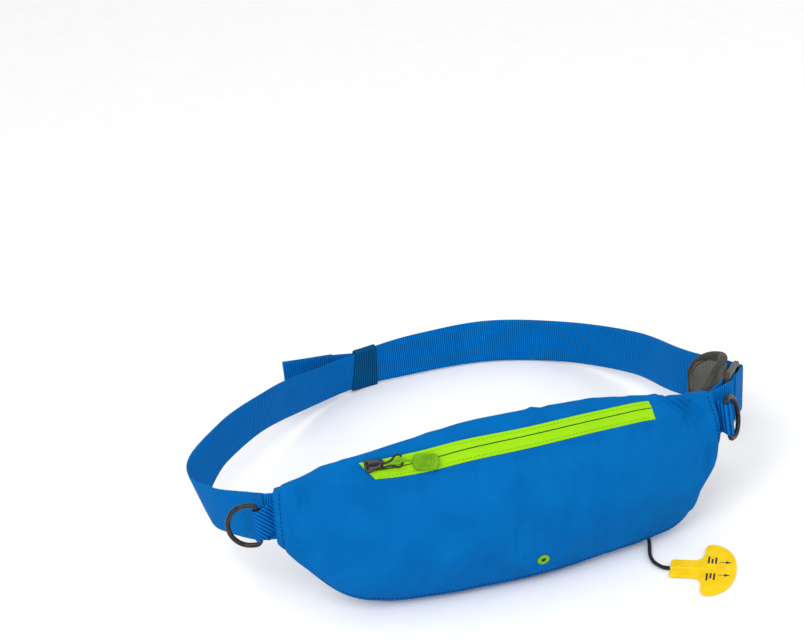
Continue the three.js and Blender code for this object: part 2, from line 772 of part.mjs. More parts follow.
const toggleFrom = { along: besideSlider(toggleSeat.left), up: toggleSeat.leftUp };
const toggleTo = { along: besideSlider(toggleSeat.right), up: toggleSeat.rightUp };

// Share of the pouch's length at a distance right of the slider
function besideSlider(right) {
  return sliderSeat.along + right / pouchLength;
}

function sliderBody() {
  const long = sliderLength / 2;
  const wide = sliderWidth / 2;
  const shape = new THREE.Shape([
    new THREE.Vector2(-long, -wide * 0.7),
    new THREE.Vector2(-long * 0.55, -wide),
    new THREE.Vector2(long * 0.5, -wide * 0.8),
    new THREE.Vector2(long, -wide * 0.5),
    new THREE.Vector2(long, wide * 0.5),
    new THREE.Vector2(long * 0.5, wide * 0.8),
    new THREE.Vector2(-long * 0.55, wide),
    new THREE.Vector2(-long, wide * 0.7),
  ]);
  return onFront(plateBody(shape, sliderThick), sliderFrom, sliderTo, sliderLift);
}

const toggleLift = zipTop + seamGap + toggleThick / 2 + 1;

function toggleBody() {
  const shape = new THREE.Shape(roundedCorners(toggleLength, toggleWidth, toggleRound));
  return onFront(plateBody(shape, toggleThick), toggleFrom, toggleTo, toggleLift);
}

// Points over the zip: right of the slider in mm, up the pouch as a share, off the cloth in mm
function nearZip(right, level, off) {
  return onCloth(besideSlider(right), level, clothWall + off);
}

function bailBody() {
  const high = sliderLift + sliderThick / 2 + seamGap + bailWire / 2;
  const points = [
    nearZip(2.2, 0.897, high),
    nearZip(8.1, 0.897, high + 0.5),
    nearZip(13.9, 0.918, high + 0.3),
    nearZip(19.8, 0.914, high),
    nearZip(21.6, 0.895, high - 0.2),
    nearZip(19, 0.876, high),
    nearZip(13.2, 0.872, high + 0.2),
    nearZip(9.2, 0.879, high + 0.4),
  ];
  return tubeBody(points, bailWire, 6, 22);
}

function pullLoopBody() {
  const low = coilTop + seamGap + loopCord / 2;
  const points = [
    nearZip(27.6, 0.894, low + 0.6),
    nearZip(24.2, 0.905, low + 0.3),
    nearZip(18.3, 0.906, low),
    nearZip(15.9, 0.896, low),
    nearZip(17.6, 0.886, low),
    nearZip(22.7, 0.884, low + 0.3),
    nearZip(27.2, 0.8815, low + 0.6),
  ];
  return tubeBody(points, loopCord, 6, 18);
}

function eyeletBody() {
  const profile = [
    new THREE.Vector2(eyeletHole / 2, -eyeletThick / 2),
    new THREE.Vector2(eyeletOuter / 2, -eyeletThick / 2),
    new THREE.Vector2(eyeletOuter / 2 - 0.6, eyeletThick / 2),
    new THREE.Vector2(eyeletHole / 2 + 0.2, eyeletThick / 2),
    new THREE.Vector2(eyeletHole / 2, -eyeletThick / 2),
  ];
  const ring = new THREE.LatheGeometry(profile, 20);
  ring.rotateX(Math.PI / 2);
  return onEyelet(ring, seamGap + eyeletThick / 2);
}

function onEyelet(geometry, lift) {
  const a = { along: eyeletSeat.along - 0.01, up: eyeletSeat.up };
  const b = { along: eyeletSeat.along + 0.01, up: eyeletSeat.up };
  return onFront(geometry, a, b, lift);
}

function frontSheet() {
  const drill = new THREE.CylinderGeometry(eyeletHole / 2, eyeletHole / 2, 4 * clothWall, 20);
  drill.rotateX(Math.PI / 2);
  return cutFrom(clothSheet(1), onEyelet(drill, -clothWall / 2));
}

// Tab outline: stem, hollow flare to the lobes, round outer edge
function tabBody() {
  const stem = stemWidth / 2;
  const lobe = lobeSpan / 2;
  const shape = new THREE.Shape();
  shape.moveTo(0, -stem);
  shape.lineTo(stemLength, -stem);
  shape.quadraticCurveTo(tabLength * 0.42, -lobe * 0.52, tabLength * 0.53, -lobe * 0.93);
  shape.quadraticCurveTo(tabLength * 0.6, -lobe * 1.04, tabLength * 0.72, -lobe * 0.96);
  shape.quadraticCurveTo(tabLength, -lobe * 0.56, tabLength, 0);
  shape.quadraticCurveTo(tabLength, lobe * 0.56, tabLength * 0.72, lobe * 0.96);
  shape.quadraticCurveTo(tabLength * 0.6, lobe * 1.04, tabLength * 0.53, lobe * 0.93);
  shape.quadraticCurveTo(tabLength * 0.42, lobe * 0.52, stemLength, stem);
  shape.lineTo(0, stem);
  const geometry = plateBody(shape, tabThick, 4);
  const cordEnd = new THREE.Vector3(...cordRoute[cordRoute.length - 1]);
  const away = heading(tabTurn, 0);
  const side = up.clone().cross(away);
  const turn = new THREE.Matrix4().makeBasis(away, side, up);
  turn.setPosition(cordEnd.addScaledVector(away, 2 * seamGap).setZ(tabThick / 2 + 0.1));
  return geometry.applyMatrix4(turn);
}

function cordBody() {
  return tubeBody(cordRoute.map((p) => new THREE.Vector3(...p)), cordWidth, 8, 10);
}

const finishes = {
  cloth: { color: 0x0a6fb8, roughness: 0.75, metalness: 0 },
  webbing: { color: 0x0463ad, roughness: 0.7, metalness: 0 },
  keeper: { color: 0x014979, roughness: 0.8, metalness: 0 },
  trim: { color: 0x9fd61c, roughness: 0.65, metalness: 0 },
  toggle: { color: 0x6fa510, roughness: 0.5, metalness: 0 },
  metal: { color: 0x35302c, roughness: 0.35, metalness: 0.8 },
  plastic: { color: 0x3a3734, roughness: 0.5, metalness: 0 },
  pad: { color: 0x565851, roughness: 0.9, metalness: 0 },
  float: { color: 0xd8d8d2, roughness: 0.6, metalness: 0 },
  cord: { color: 0x14161a, roughness: 0.8, metalness: 0 },
  tab: { color: 0xf5d52c, roughness: 0.5, metalness: 0 },
};

const pack = new THREE.Group();

function addPiece(name, geometry, finish) {
  const mesh = new THREE.Mesh(geometry, new THREE.MeshStandardMaterial(finishes[finish]));
  mesh.name = name;
  pack.add(mesh);
  return mesh;
}

addPiece('pouch_front', frontSheet(), 'cloth');
addPiece('pouch_back', clothSheet(-1), 'cloth');
addPiece('packed_float', packedFloat(), 'float');
addPiece('zip_tape_upper', zipBand('teeth', 'upper', coilShare / 2, 0, zipLift, tapeThick), 'trim');
addPiece('zip_tape_lower', zipBand('lower', 'teeth', 0, -coilShare / 2, zipLift, tapeThick), 'trim');
addPiece('zip_teeth', zipBand('teeth', 'teeth', -coilShare * 0.36, coilShare * 0.36, zipLift, tapeThick + 1.1), 'trim');
addPiece('zip_slider', sliderBody(), 'plastic');
addPiece('slider_bail', bailBody(), 'metal');
addPiece('pull_loop', pullLoopBody(), 'trim');
addPiece('pull_toggle', toggleBody(), 'toggle');
addPiece('eyelet', eyeletBody(), 'trim');
addPiece('belt_webbing', beltWebbing(), 'webbing');
addPiece('tail_hem', tailHem(), 'webbing');
addPiece('belt_keeper', keeperBand(), 'keeper');
addPiece('left_ring_strap', ringStrap(leftSeam, leftRing), 'webbing');
addPiece('left_ring', ringWireBody(leftRing), 'metal');
addPiece('right_ring_strap', ringStrap(rightSeam, rightRing), 'webbing');
addPiece('right_ring', ringWireBody(rightRing), 'metal');
addPiece('anchor_strap', anchorStrap(), 'webbing');
addPiece('belt_buckle', buckleBody(), 'plastic');
addPiece('comfort_pad', padBody(), 'pad');

// Stand the belt and pouch on Z = 0 with the middle of its footprint at the origin, before the cord is laid
const box = new THREE.Box3().setFromObject(pack, true);
pack.position.set(-(box.min.x + box.max.x) / 2, -(box.min.y + box.max.y) / 2, -box.min.z);

addPiece('pull_cord', cordBody(), 'cord');
addPiece('pull_tab', tabBody(), 'tab');

export default pack;
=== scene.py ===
import math
import bmesh
import bpy
from mathutils import Matrix, Vector, noise


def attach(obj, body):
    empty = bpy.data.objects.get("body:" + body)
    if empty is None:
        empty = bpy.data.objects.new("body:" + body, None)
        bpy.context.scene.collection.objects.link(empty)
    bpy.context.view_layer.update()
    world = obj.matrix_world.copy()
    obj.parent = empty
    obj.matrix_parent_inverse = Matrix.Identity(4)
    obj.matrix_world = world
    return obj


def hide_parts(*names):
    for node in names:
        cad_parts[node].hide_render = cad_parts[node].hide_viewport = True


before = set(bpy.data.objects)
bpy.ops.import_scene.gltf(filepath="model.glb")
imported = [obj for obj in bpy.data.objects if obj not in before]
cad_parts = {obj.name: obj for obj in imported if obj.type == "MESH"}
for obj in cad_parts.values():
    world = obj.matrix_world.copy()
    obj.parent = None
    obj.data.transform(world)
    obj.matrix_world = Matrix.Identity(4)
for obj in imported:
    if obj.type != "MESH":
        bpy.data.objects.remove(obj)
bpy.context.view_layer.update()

# The tables below are in millimetres, with the pouch's end seams at y = 0 as in the part's source.
mm = 0.001
packShift = Vector((-0.533, -139.048, 0.047))   # from there to the middle of the footprint
up = Vector((0, 0, 1))


# Small helpers: numbers, curves and meshes

def smooth(x):
    x = min(max(x, 0.0), 1.0)
    return x * x * (3 - 2 * x)


def blendTo(a, b, share):
    return a + (b - a) * share


def place(p):
    return (Vector(p) + packShift) * mm


def table(columns, *rows):
    # a short table: names of the columns, then its rows
    return [dict(zip(columns.split(), row)) for row in rows]


def hump(x, middle, width):
    # bell curve, 1 at its middle
    return math.exp(-((x - middle) / width) ** 2)


def circle(count):
    turns = [2 * math.pi * k / count for k in range(count)]
    return [(math.cos(turn), math.sin(turn)) for turn in turns]


def readTable(rows, column, at):
    last = len(rows) - 1

    def slope(i):
        a, b = rows[max(i - 1, 0)], rows[min(i + 1, last)]
        return (b[column] - a[column]) / (b["along"] - a["along"])

    k = 0
    while k < last - 1 and at > rows[k + 1]["along"]:
        k += 1
    width = rows[k + 1]["along"] - rows[k]["along"]
    u = min(max((at - rows[k]["along"]) / width, 0.0), 1.0)
    u2, u3 = u * u, u * u * u
    return ((2 * u3 - 3 * u2 + 1) * rows[k][column] + (u3 - 2 * u2 + u) * width * slope(k)
            + (3 * u2 - 2 * u3) * rows[k + 1][column] + (u3 - u2) * width * slope(k + 1))


class Path:
    # smooth line through points, the same kind as in the part's source
    def __init__(self, points):
        self.points = [Vector(p) for p in points]
        self.marks = None

    def at(self, t):
        pts = self.points
        last = len(pts) - 1
        run = last * t
        k = int(math.floor(run))
        weight = run - k
        if k >= last:
            k, weight = last - 1, 1.0
        p1, p2 = pts[k], pts[k + 1]
        p0 = pts[k - 1] if k > 0 else p1 * 2 - p2
        p3 = pts[k + 2] if k + 2 <= last else p2 * 2 - p1
        d0, d1, d2 = [max((b - a).length_squared, 0.0) ** 0.25 for a, b in ((p0, p1), (p1, p2), (p2, p3))]
        d1 = d1 if d1 > 1e-4 else 1.0
        d0 = d0 if d0 > 1e-4 else d1
        d2 = d2 if d2 > 1e-4 else d1
        t1 = ((p1 - p0) / d0 - (p2 - p0) / (d0 + d1) + (p2 - p1) / d1) * d1
        t2 = ((p2 - p1) / d1 - (p3 - p1) / (d1 + d2) + (p3 - p2) / d2) * d1
        w2, w3 = weight * weight, weight ** 3
        return p1 + t1 * weight + (p1 * -3 + p2 * 3 - t1 * 2 - t2) * w2 + (p1 * 2 - p2 * 2 + t1 + t2) * w3

    def ahead(self, t):
        a, b = max(t - 0.0001, 0.0), min(t + 0.0001, 1.0)
        return (self.at(b) - self.at(a)).normalized()

    def evenly(self, share):
        # point at a share of the line's length
        if self.marks is None:
            steps = 200
            self.marks = [(0.0, 0.0)]
            before, total = self.at(0), 0.0
            for i in range(1, steps + 1):
                here = self.at(i / steps)
                total += (here - before).length
                self.marks.append((i / steps, total))
                before = here
        want = share * self.marks[-1][1]
        for (t0, s0), (t1, s1) in zip(self.marks, self.marks[1:]):
            if want <= s1 + 1e-9:
                return self.at(blendTo(t0, t1, (want - s0) / max(s1 - s0, 1e-9)))
        return self.at(1.0)

    def length(self):
        self.evenly(0)
        return self.marks[-1][1]


def newObject(name, data):
    made = bpy.data.objects.new(name, data)
    bpy.context.scene.collection.objects.link(made)
    return made


def makeMesh(name, points, faces, uvs=None, sharpAngle=None, inPlace=False):
    mesh = bpy.data.meshes.new(name)
    mesh.from_pydata([Vector(p) if inPlace else place(p) for p in points], [], faces)
    if uvs is not None:
        layer = mesh.uv_layers.new(name="weaveMap")
        for loop in mesh.loops:
            layer.data[loop.index].uv = uvs[loop.vertex_index]
    tidy = bmesh.new()
    tidy.from_mesh(mesh)
    bmesh.ops.recalc_face_normals(tidy, faces=tidy.faces)
    tidy.to_mesh(mesh)
    tidy.free()
    mesh.shade_smooth()
    if sharpAngle is not None:
        mesh.set_sharp_from_angle(angle=math.radians(sharpAngle))
    return newObject(name, mesh)


def dress(piece, material, body="pack", replaces=(), under=None):
    piece.data.materials.append(material)
    if under is not None:
        piece.parent = under
    else:
        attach(piece, body)
    if replaces:
        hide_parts(*replaces)
    return piece


def gridFaces(rows, columns, closed=False, start=0):
    faces = []
    wide = columns if closed else columns - 1
    for i in range(rows - 1):
        for j in range(wide):
            k = (j + 1) % columns
            a, b = start + i * columns, start + (i + 1) * columns
            faces.append((a + j, a + k, b + k, b + j))
    return faces


def ringLoft(name, rings, uvs=None, closedRun=False, sharpAngle=None):
    # closed rings of points, one after another, ends filled
    count = len(rings[0])
    points = [p for ring in rings for p in ring]
    faces = gridFaces(len(rings), count, closed=True)
    if closedRun:
        base = (len(rings) - 1) * count
        for j in range(count):
            k = (j + 1) % count
            faces.append((base + j, base + k, k, j))
    else:
        faces.append(tuple(range(count)))
        faces.append(tuple(range((len(rings) - 1) * count, len(rings) * count)))
    return makeMesh(name, points, faces, uvs, sharpAngle)


def tubeRings(points, radius, sides):
    rings = []
    last = len(points) - 1
    side = None
    for i, p in enumerate(points):
        ahead = (points[min(i + 1, last)] - points[max(i - 1, 0)]).normalized()
        if side is None:
            side = ahead.orthogonal().normalized()
        side = (side - ahead * side.dot(ahead)).normalized()
        third = ahead.cross(side)
        rings.append([p + (side * x + third * y) * radius for x, y in circle(sides)])
    return rings


def manyTubes(name, lines, radius, sides=5):
    # thread, cord or wire runs in one piece, with one radius for all or one each
    radii = radius if isinstance(radius, tuple) else [radius] * len(lines)
    points, faces = [], []
    for line, thick in zip(lines, radii):
        rings = tubeRings(line, thick, sides)
        start = len(points)
        points += [p for ring in rings for p in ring]
        faces += gridFaces(len(rings), sides, closed=True, start=start)
        faces.append(tuple(range(start, start + sides)))
        faces.append(tuple(range(start + (len(rings) - 1) * sides, start + len(rings) * sides)))
    return makeMesh(name, points, faces)


def plate(name, outlines, thick, edge, turn, resolution=3):
    # flat plate from closed outlines (the first is the outside), edges rounded over
    curve = bpy.data.curves.new(name + "Outline", "CURVE")
    curve.dimensions = "2D"
    curve.fill_mode = "BOTH"
    curve.extrude = (thick / 2 - edge) * mm
    curve.bevel_depth = edge * mm
    curve.bevel_resolution = resolution
    curve.offset = -edge * mm
    for outline in outlines:
        line = curve.splines.new("POLY")
        line.points.add(len(outline) - 1)
        for point, (x, y) in zip(line.points, outline):
            point.co = (x * mm, y * mm, 0, 1)
        line.use_cyclic_u = True
    holder = newObject(name + "Outline", curve)
    bpy.context.view_layer.update()
    mesh = bpy.data.meshes.new_from_object(holder.evaluated_get(bpy.context.evaluated_depsgraph_get()))
    bpy.data.objects.remove(holder)
    mesh.name = name
    layer = mesh.uv_layers[0] if mesh.uv_layers else mesh.uv_layers.new(name="weaveMap")
    layer.name = "weaveMap"
    for loop in mesh.loops:
        co = mesh.vertices[loop.vertex_index].co
        layer.data[loop.index].uv = (co.x, co.y)
    mesh.transform(turn)
    mesh.shade_smooth()
    mesh.set_sharp_from_angle(angle=math.radians(40))
    return newObject(name, mesh)


def turnTo(origin, x, y, z):
    spot = place(origin)
    rows = [(x[k], y[k], z[k], spot[k]) for k in range(3)]
    return Matrix(rows + [(0, 0, 0, 1)])


def roundedCorners(long, high, radius, steps=5):
    points = []
    for x, y, start in ((1, -1, -90), (1, 1, 0), (-1, 1, 90), (-1, -1, 180)):
        for i in range(steps + 1):
            turn = math.radians(start + 90 * i / steps)
            points.append((x * (long / 2 - radius) + radius * math.cos(turn),
                           y * (high / 2 - radius) + radius * math.sin(turn)))
    return points


# Materials

def linear(colour):
    def one(c):
        c /= 255
        return c / 12.92 if c <= 0.04045 else ((c + 0.055) / 1.055) ** 2.4
    return (one(colour[0]), one(colour[1]), one(colour[2]), 1)


bandsPerScale = 3.1831      # bands per metre of Blender's wave texture at scale 1


class Finish:
    # a node material built step by step
    def __init__(self, name, colour, roughness, metallic=0.0, sheen=0.0, gloss=0.5):
        self.material = bpy.data.materials.new(name)
        self.material.use_nodes = True
        self.nodes = self.material.node_tree.nodes
        self.links = self.material.node_tree.links
        self.shader = self.nodes["Principled BSDF"]
        self.shader.inputs["Base Color"].default_value = linear(colour)
        self.shader.inputs["Roughness"].default_value = roughness
        self.shader.inputs["Metallic"].default_value = metallic
        self.shader.inputs["Sheen Weight"].default_value = sheen
        self.shader.inputs["Specular IOR Level"].default_value = gloss
        self.height = None

    def coords(self, where, turn=0.0):
        source = self.nodes.new("ShaderNodeTexCoord")
        mapping = self.nodes.new("ShaderNodeMapping")
        mapping.inputs["Rotation"].default_value = (0, 0, math.radians(turn))
        self.links.new(source.outputs[where], mapping.inputs["Vector"])
        return mapping.outputs["Vector"]

    def bands(self, pitch, direction="X", turn=0.0):
        # pitch in millimetres: one full band every pitch
        wave = self.nodes.new("ShaderNodeTexWave")
        wave.wave_type = "BANDS"
        wave.bands_direction = direction
        wave.wave_profile = "SIN"
        wave.inputs["Scale"].default_value = 1 / (pitch * mm) / bandsPerScale
        wave.inputs["Distortion"].default_value = 0.0
        self.links.new(self.coords("UV", turn), wave.inputs["Vector"])
        return wave.outputs["Fac"]

    def cloud(self, size, detail=3.0):
        field = self.nodes.new("ShaderNodeTexNoise")
        field.inputs["Scale"].default_value = 1 / (size * mm)
        field.inputs["Detail"].default_value = detail
        self.links.new(self.coords("Object"), field.inputs["Vector"])
        return field.outputs["Fac"]

    def maths(self, kind, a, b):
        node = self.nodes.new("ShaderNodeMath")
        node.operation = kind
        for socket, value in zip(node.inputs, (a, b)):
            if isinstance(value, (int, float)):
                socket.default_value = value
            else:
                self.links.new(value, socket)
        return node.outputs[0]

    def weigh(self, a, shareA, b, shareB):
        return self.maths("ADD", self.maths("MULTIPLY", a, shareA), self.maths("MULTIPLY", b, shareB))

    def tint(self, factor, low, high, fromTo):
        # colour from low to high as the factor goes from the first to the second value
        node = self.nodes.new("ShaderNodeValToRGB")
        node.color_ramp.elements[0].position = fromTo[0]
        node.color_ramp.elements[1].position = fromTo[1]
        node.color_ramp.elements[0].color = linear(low)
        node.color_ramp.elements[1].color = linear(high)
        self.links.new(factor, node.inputs["Fac"])
        self.links.new(node.outputs["Color"], self.shader.inputs["Base Color"])

    def rough(self, factor, low, high):
        node = self.nodes.new("ShaderNodeMapRange")
        node.inputs["To Min"].default_value = low
        node.inputs["To Max"].default_value = high
        self.links.new(factor, node.inputs["Value"])
        self.links.new(node.outputs["Result"], self.shader.inputs["Roughness"])

    def bump(self, factor, depth, strength=1.0):
        # depth in millimetres, several bumps stack up
        node = self.nodes.new("ShaderNodeBump")
        node.inputs["Distance"].default_value = depth * mm
        node.inputs["Strength"].default_value = strength
        self.links.new(factor, node.inputs["Height"])
        if self.height is not None:
            self.links.new(self.height, node.inputs["Normal"])
        self.height = node.outputs["Normal"]
        self.links.new(self.height, self.shader.inputs["Normal"])


def wovenCloth(name, low, high, thread, roughness=0.75):
    finish = Finish(name, high, roughness, gloss=0.04)
    weave = finish.maths("MULTIPLY", finish.bands(thread, "X"), finish.bands(thread, "Y"))
    # lighter where the threads cross, darker between them: painted shade between the threads, with random
    # tone from the noise
    finish.tint(finish.weigh(weave, 0.35, finish.cloud(28, 2.0), 0.75), low, high, (0.25, 0.85))
    finish.bump(weave, 0.05, 0.5)
    finish.bump(finish.cloud(14, 3.0), 0.35, 0.35)
    return finish.material


def ribbedWebbing(name, low, high, rib, depth, turn=0.0):
    finish = Finish(name, high, 0.75, gloss=0.04)
    relief = finish.weigh(finish.bands(rib, "X", turn), 0.7, finish.bands(0.7, "Y"), 0.3)
    # darker in the rib valleys: painted shade in the valleys, with random tone from the noise
    finish.tint(finish.weigh(relief, 0.95, finish.cloud(30, 2.0), 0.2), low, high, (0.2, 0.9))
    finish.bump(relief, depth, 0.7)
    return finish.material


def mouldedPlastic(name, low, high, roughness, grain=0.6, gloss=0.3):
    finish = Finish(name, high, roughness, gloss=gloss)
    fine = finish.cloud(grain, 4.0)
    finish.tint(finish.cloud(9, 3.0), low, high, (0.3, 0.7))
    finish.rough(fine, roughness - 0.08, roughness + 0.12)
    finish.bump(fine, 0.05, 0.3)
    return finish.material


def coatedMetal(name, low, high, roughness, metallic=0.55, gloss=0.5):
    finish = Finish(name, high, roughness, metallic=metallic, gloss=gloss)
    wear = finish.cloud(3.5, 5.0)
    finish.tint(wear, low, high, (0.35, 0.7))
    finish.rough(wear, roughness - 0.1, roughness + 0.1)
    finish.bump(finish.cloud(0.8, 3.0), 0.04, 0.3)
    return finish.material


def brushedPad(name, low, high):
    finish = Finish(name, high, 0.92, sheen=0.1, gloss=0.15)
    pile = finish.cloud(1.1, 6.0)
    finish.tint(finish.weigh(pile, 0.5, finish.cloud(16, 2.0), 0.5), low, high, (0.35, 0.65))
    finish.bump(pile, 0.18, 0.6)
    return finish.material


def braidedCord(name, low, high):
    finish = Finish(name, high, 0.75, sheen=0.05, gloss=0.2)
    over = finish.bands(1.6, "DIAGONAL")
    # darker in the grooves of the braid: painted shade
    finish.tint(over, low, high, (0.2, 0.9))
    finish.bump(over, 0.12, 0.6)
    return finish.material


blueCloth = wovenCloth("blueCloth", (0, 92, 162), (0, 108, 180), 0.7)
blueWebbing = ribbedWebbing("blueWebbing", (0, 66, 132), (0, 124, 206), 1.9, depth=0.5)
blueTwill = ribbedWebbing("blueTwill", (0, 46, 104), (2, 122, 208), 2.3, depth=0.7, turn=42)
blueStrap = ribbedWebbing("blueStrap", (0, 50, 112), (2, 120, 204), 3.6, depth=0.9)
navyElastic = ribbedWebbing("navyElastic", (0, 40, 74), (2, 94, 148), 2.1, depth=0.6)
limeTape = ribbedWebbing("limeTape", (122, 190, 8), (168, 226, 34), 0.9, depth=0.1)
limeThread = wovenCloth("limeThread", (120, 176, 14), (168, 222, 44), 0.5)
limeCord = braidedCord("limeCord", (112, 168, 20), (160, 214, 40))
zipShadow = wovenCloth("zipShadow", (40, 70, 8), (66, 104, 14), 0.5)
greenToggle = mouldedPlastic("greenToggle", (92, 146, 4), (112, 168, 12), 0.42, gloss=0.15)
darkMetal = coatedMetal("darkMetal", (32, 28, 25), (64, 57, 51), 0.36)
blackMetal = coatedMetal("blackMetal", (5, 5, 6), (20, 20, 22), 0.3, 0.1, 0.4)
greyPlastic = mouldedPlastic("greyPlastic", (48, 44, 40), (78, 72, 66), 0.42)
padFace = brushedPad("padFace", (86, 87, 80), (112, 112, 104))
padRim = brushedPad("padRim", (50, 49, 44), (74, 72, 65))
blackCord = braidedCord("blackCord", (14, 15, 18), (40, 42, 48))
yellowPlastic = mouldedPlastic("yellowPlastic", (240, 194, 0), (250, 212, 26), 0.42, grain=1.5, gloss=0.12)
blueStitch = wovenCloth("blueStitch", (0, 48, 100), (0, 72, 138), 0.4)
darkStitch = wovenCloth("darkStitch", (34, 34, 32), (54, 54, 50), 0.4)
paleStitch = mouldedPlastic("paleStitch", (240, 190, 110), (252, 214, 150), 0.5)
inkBlack = mouldedPlastic("inkBlack", (34, 36, 50), (50, 52, 66), 0.6)
paleFloor = wovenCloth("paleFloor", (250, 250, 250), (255, 255, 255), 4.0, roughness=0.9)
# painted shade: dark colour for the sleeve round the eyelet hole's wall, where shade falls
holeShade = wovenCloth("holeShade", (6, 20, 34), (10, 28, 46), 0.7)
print("materials ready")


# Camera at the photograph's angle: it looks from 13 degrees left of the front and 28 up, rolled 6

cameraFacts = {
    "spot": (-398.715, -1454.168, 1040.350),
    "right": (0.95874821, -0.26897887, -0.091936),
    "upward": (0.20683991, 0.43828653, 0.87471262),
    "back": (-0.1949849, -0.8576452, 0.47584199),
    "focalPixels": 2300,
    "imageWidth": 804,
}


def setCamera(facts):
    lens = bpy.data.cameras.new("photoView")
    lens.sensor_width = 36
    lens.lens = facts["focalPixels"] / facts["imageWidth"] * lens.sensor_width
    lens.clip_end = 20
    camera = newObject("photoView", lens)
    camera.matrix_world = turnTo(facts["spot"], *(Vector(facts[k]) for k in ("right", "upward", "back")))
    bpy.context.scene.camera = camera
    bpy.context.scene.view_settings.view_transform = "Standard"      # plain colours, as in the photograph


setCamera(cameraFacts)


# Pull cord and its tab

cordFacts = {
    "width": 3.0,
    "route": [(108.4, -19.2, 3.6), (107.2, -23.5, 2.4), (105.6, -28, 1.8), (103.9, -32.8, 1.6),
              (102.4, -37.5, 1.6), (101.6, -42.2, 1.6), (101.6, -47.2, 1.6), (103, -52.2, 1.6),
              (105.9, -57.4, 1.6), (109.8, -60.3, 1.6)],
    "steps": 36,
}
tabFacts = {
    "turn": -27,          # degrees, stem to lobes
    "thick": 2.6,
    "stemWidth": 21.5,
    "stemLength": 17,
    "lobeSpan": 67,
    "length": 51,
    "gap": 0.6,
    "fold": 0.55,         # how far the fold line stands up
    "foldWidth": 0.8,
    "droop": 0.35,        # how far the lobes' ends dip
    "dots": (6, 15.5, 25, 34.5, 44),
}


def makeCord(facts):
    path = Path(facts["route"])
    count = facts["steps"]
    curve = bpy.data.curves.new("pullCord", "CURVE")
    curve.dimensions = "3D"
    curve.bevel_depth = facts["width"] / 2 * mm
    curve.bevel_resolution = 4
    curve.use_fill_caps = True
    line = curve.splines.new("POLY")
    line.points.add(count)
    for i in range(count + 1):
        line.points[i].co = (*place(path.evenly(i / count)), 1)
    cord = dress(newObject("pullCord", curve), blackCord, replaces=["pull_cord"])
    return cord, path.length() * mm


def bend2(a, b, c, steps=10):
    # quadratic bend from a to c, pulled to b, without its first point
    out = []
    for i in range(1, steps + 1):
        t = i / steps
        out.append(tuple((1 - t) ** 2 * a[k] + 2 * t * (1 - t) * b[k] + t * t * c[k] for k in (0, 1)))
    return out


def tabOutline(facts):
    stem, lobe, long = facts["stemWidth"] / 2, facts["lobeSpan"] / 2, facts["length"]
    start = facts["stemLength"]
    half = [(1.5, -stem), (start, -stem)]
    half += bend2((start, -stem), (long * 0.47, -stem), (long * 0.49, -lobe * 0.56))
    half += bend2((long * 0.49, -lobe * 0.56), (long * 0.5, -lobe * 0.66), (long * 0.495, -lobe * 0.76), 4)
    half += bend2((long * 0.495, -lobe * 0.76), (long * 0.5, -lobe * 1.02), (long * 0.65, -lobe * 0.985))
    half += bend2((long * 0.65, -lobe * 0.985), (long * 0.99, -lobe * 0.8), (long, 0), 16)
    return [(0, -stem + 1.5)] + half + [(x, -y) for x, y in reversed(half[:-1])] + [(0, stem - 1.5)]


def tabMark(facts):
    # three plain bars and an arrow on each half
    marks = []

    def bar(x, y, long, wide):
        marks.append([(x - long / 2, y - wide / 2), (x + long / 2, y - wide / 2),
                      (x + long / 2, y + wide / 2), (x - long / 2, y + wide / 2)])

    for side in (1, -1):
        for k, long in enumerate((9.5, 6.5, 8.5)):
            bar(facts["length"] * (0.57 + 0.055 * k), side * (6.5 + long / 2), 1.5, long)
        x, y = facts["length"] * 0.83, side * 8.5
        bar(x - 2.4, y, 5.2, 0.7)
        marks.append([(x, y - 1.9), (x + 4.4, y), (x, y + 1.9)])
    return marks


def makeTab(facts):
    turn = math.radians(facts["turn"])
    away = Vector((math.cos(turn), math.sin(turn), 0))
    side = up.cross(away)
    end = Vector(cordFacts["route"][-1]) + away * facts["gap"]
    end.z = facts["thick"] / 2 + 0.1
    tab = plate("pullTab", [tabOutline(facts)], facts["thick"], 0.5, Matrix.Identity(4))
    cut = bmesh.new()
    cut.from_mesh(tab.data)
    for i in range(-16, 17):        # rows across, so that the fold can stand up
        bmesh.ops.bisect_plane(cut, geom=cut.verts[:] + cut.edges[:] + cut.faces[:], dist=1e-6,
                               plane_co=(0, i * 0.35 * mm, 0), plane_no=(0, 1, 0))
    half = facts["lobeSpan"] / 2 * mm
    for v in cut.verts:
        if v.co.z > 0:
            v.co.z += facts["fold"] * mm * hump(v.co.y, 0, facts["foldWidth"] * mm)
            v.co.z -= facts["droop"] * mm * (v.co.y / half) ** 2
    cut.to_mesh(tab.data)
    cut.free()
    tab.data.transform(turnTo(end, away, side, up))
    dress(tab, yellowPlastic, replaces=["pull_tab"])
    top = facts["thick"] / 2 + 0.02
    points, faces = [], []
    for shape in tabMark(facts):
        start, n = len(points), len(shape)
        for height in (top - 0.05, top + 0.06):
            for x, y in shape:
                dip = facts["droop"] * (y * 2 / facts["lobeSpan"]) ** 2
                points.append(end + away * x + side * y + up * (height - dip))
        faces.append(tuple(start + n + i for i in range(n)))
        for i in range(n):
            k = (i + 1) % n
            faces.append((start + i, start + k, start + n + k, start + n + i))
    dress(makeMesh("tabMarks", points, faces), inkBlack, under=tab)
    bow = [((i - 2) * 0.55, top + facts["fold"] - 0.1 + 0.3 * math.sin(math.pi * i / 4)) for i in range(5)]
    dots = [[end + away * (x + run) + up * rise for run, rise in bow] for x in facts["dots"]]
    dress(manyTubes("tabStitches", dots, 0.5, 6), paleStitch, under=tab)
    return tab


cord, cordLength = makeCord(cordFacts)
tab = makeTab(tabFacts)
print("camera, cord and tab placed, cord", round(cordLength * 1000, 1), "mm")


# Pouch: the same surface as the solids, with folds and seams

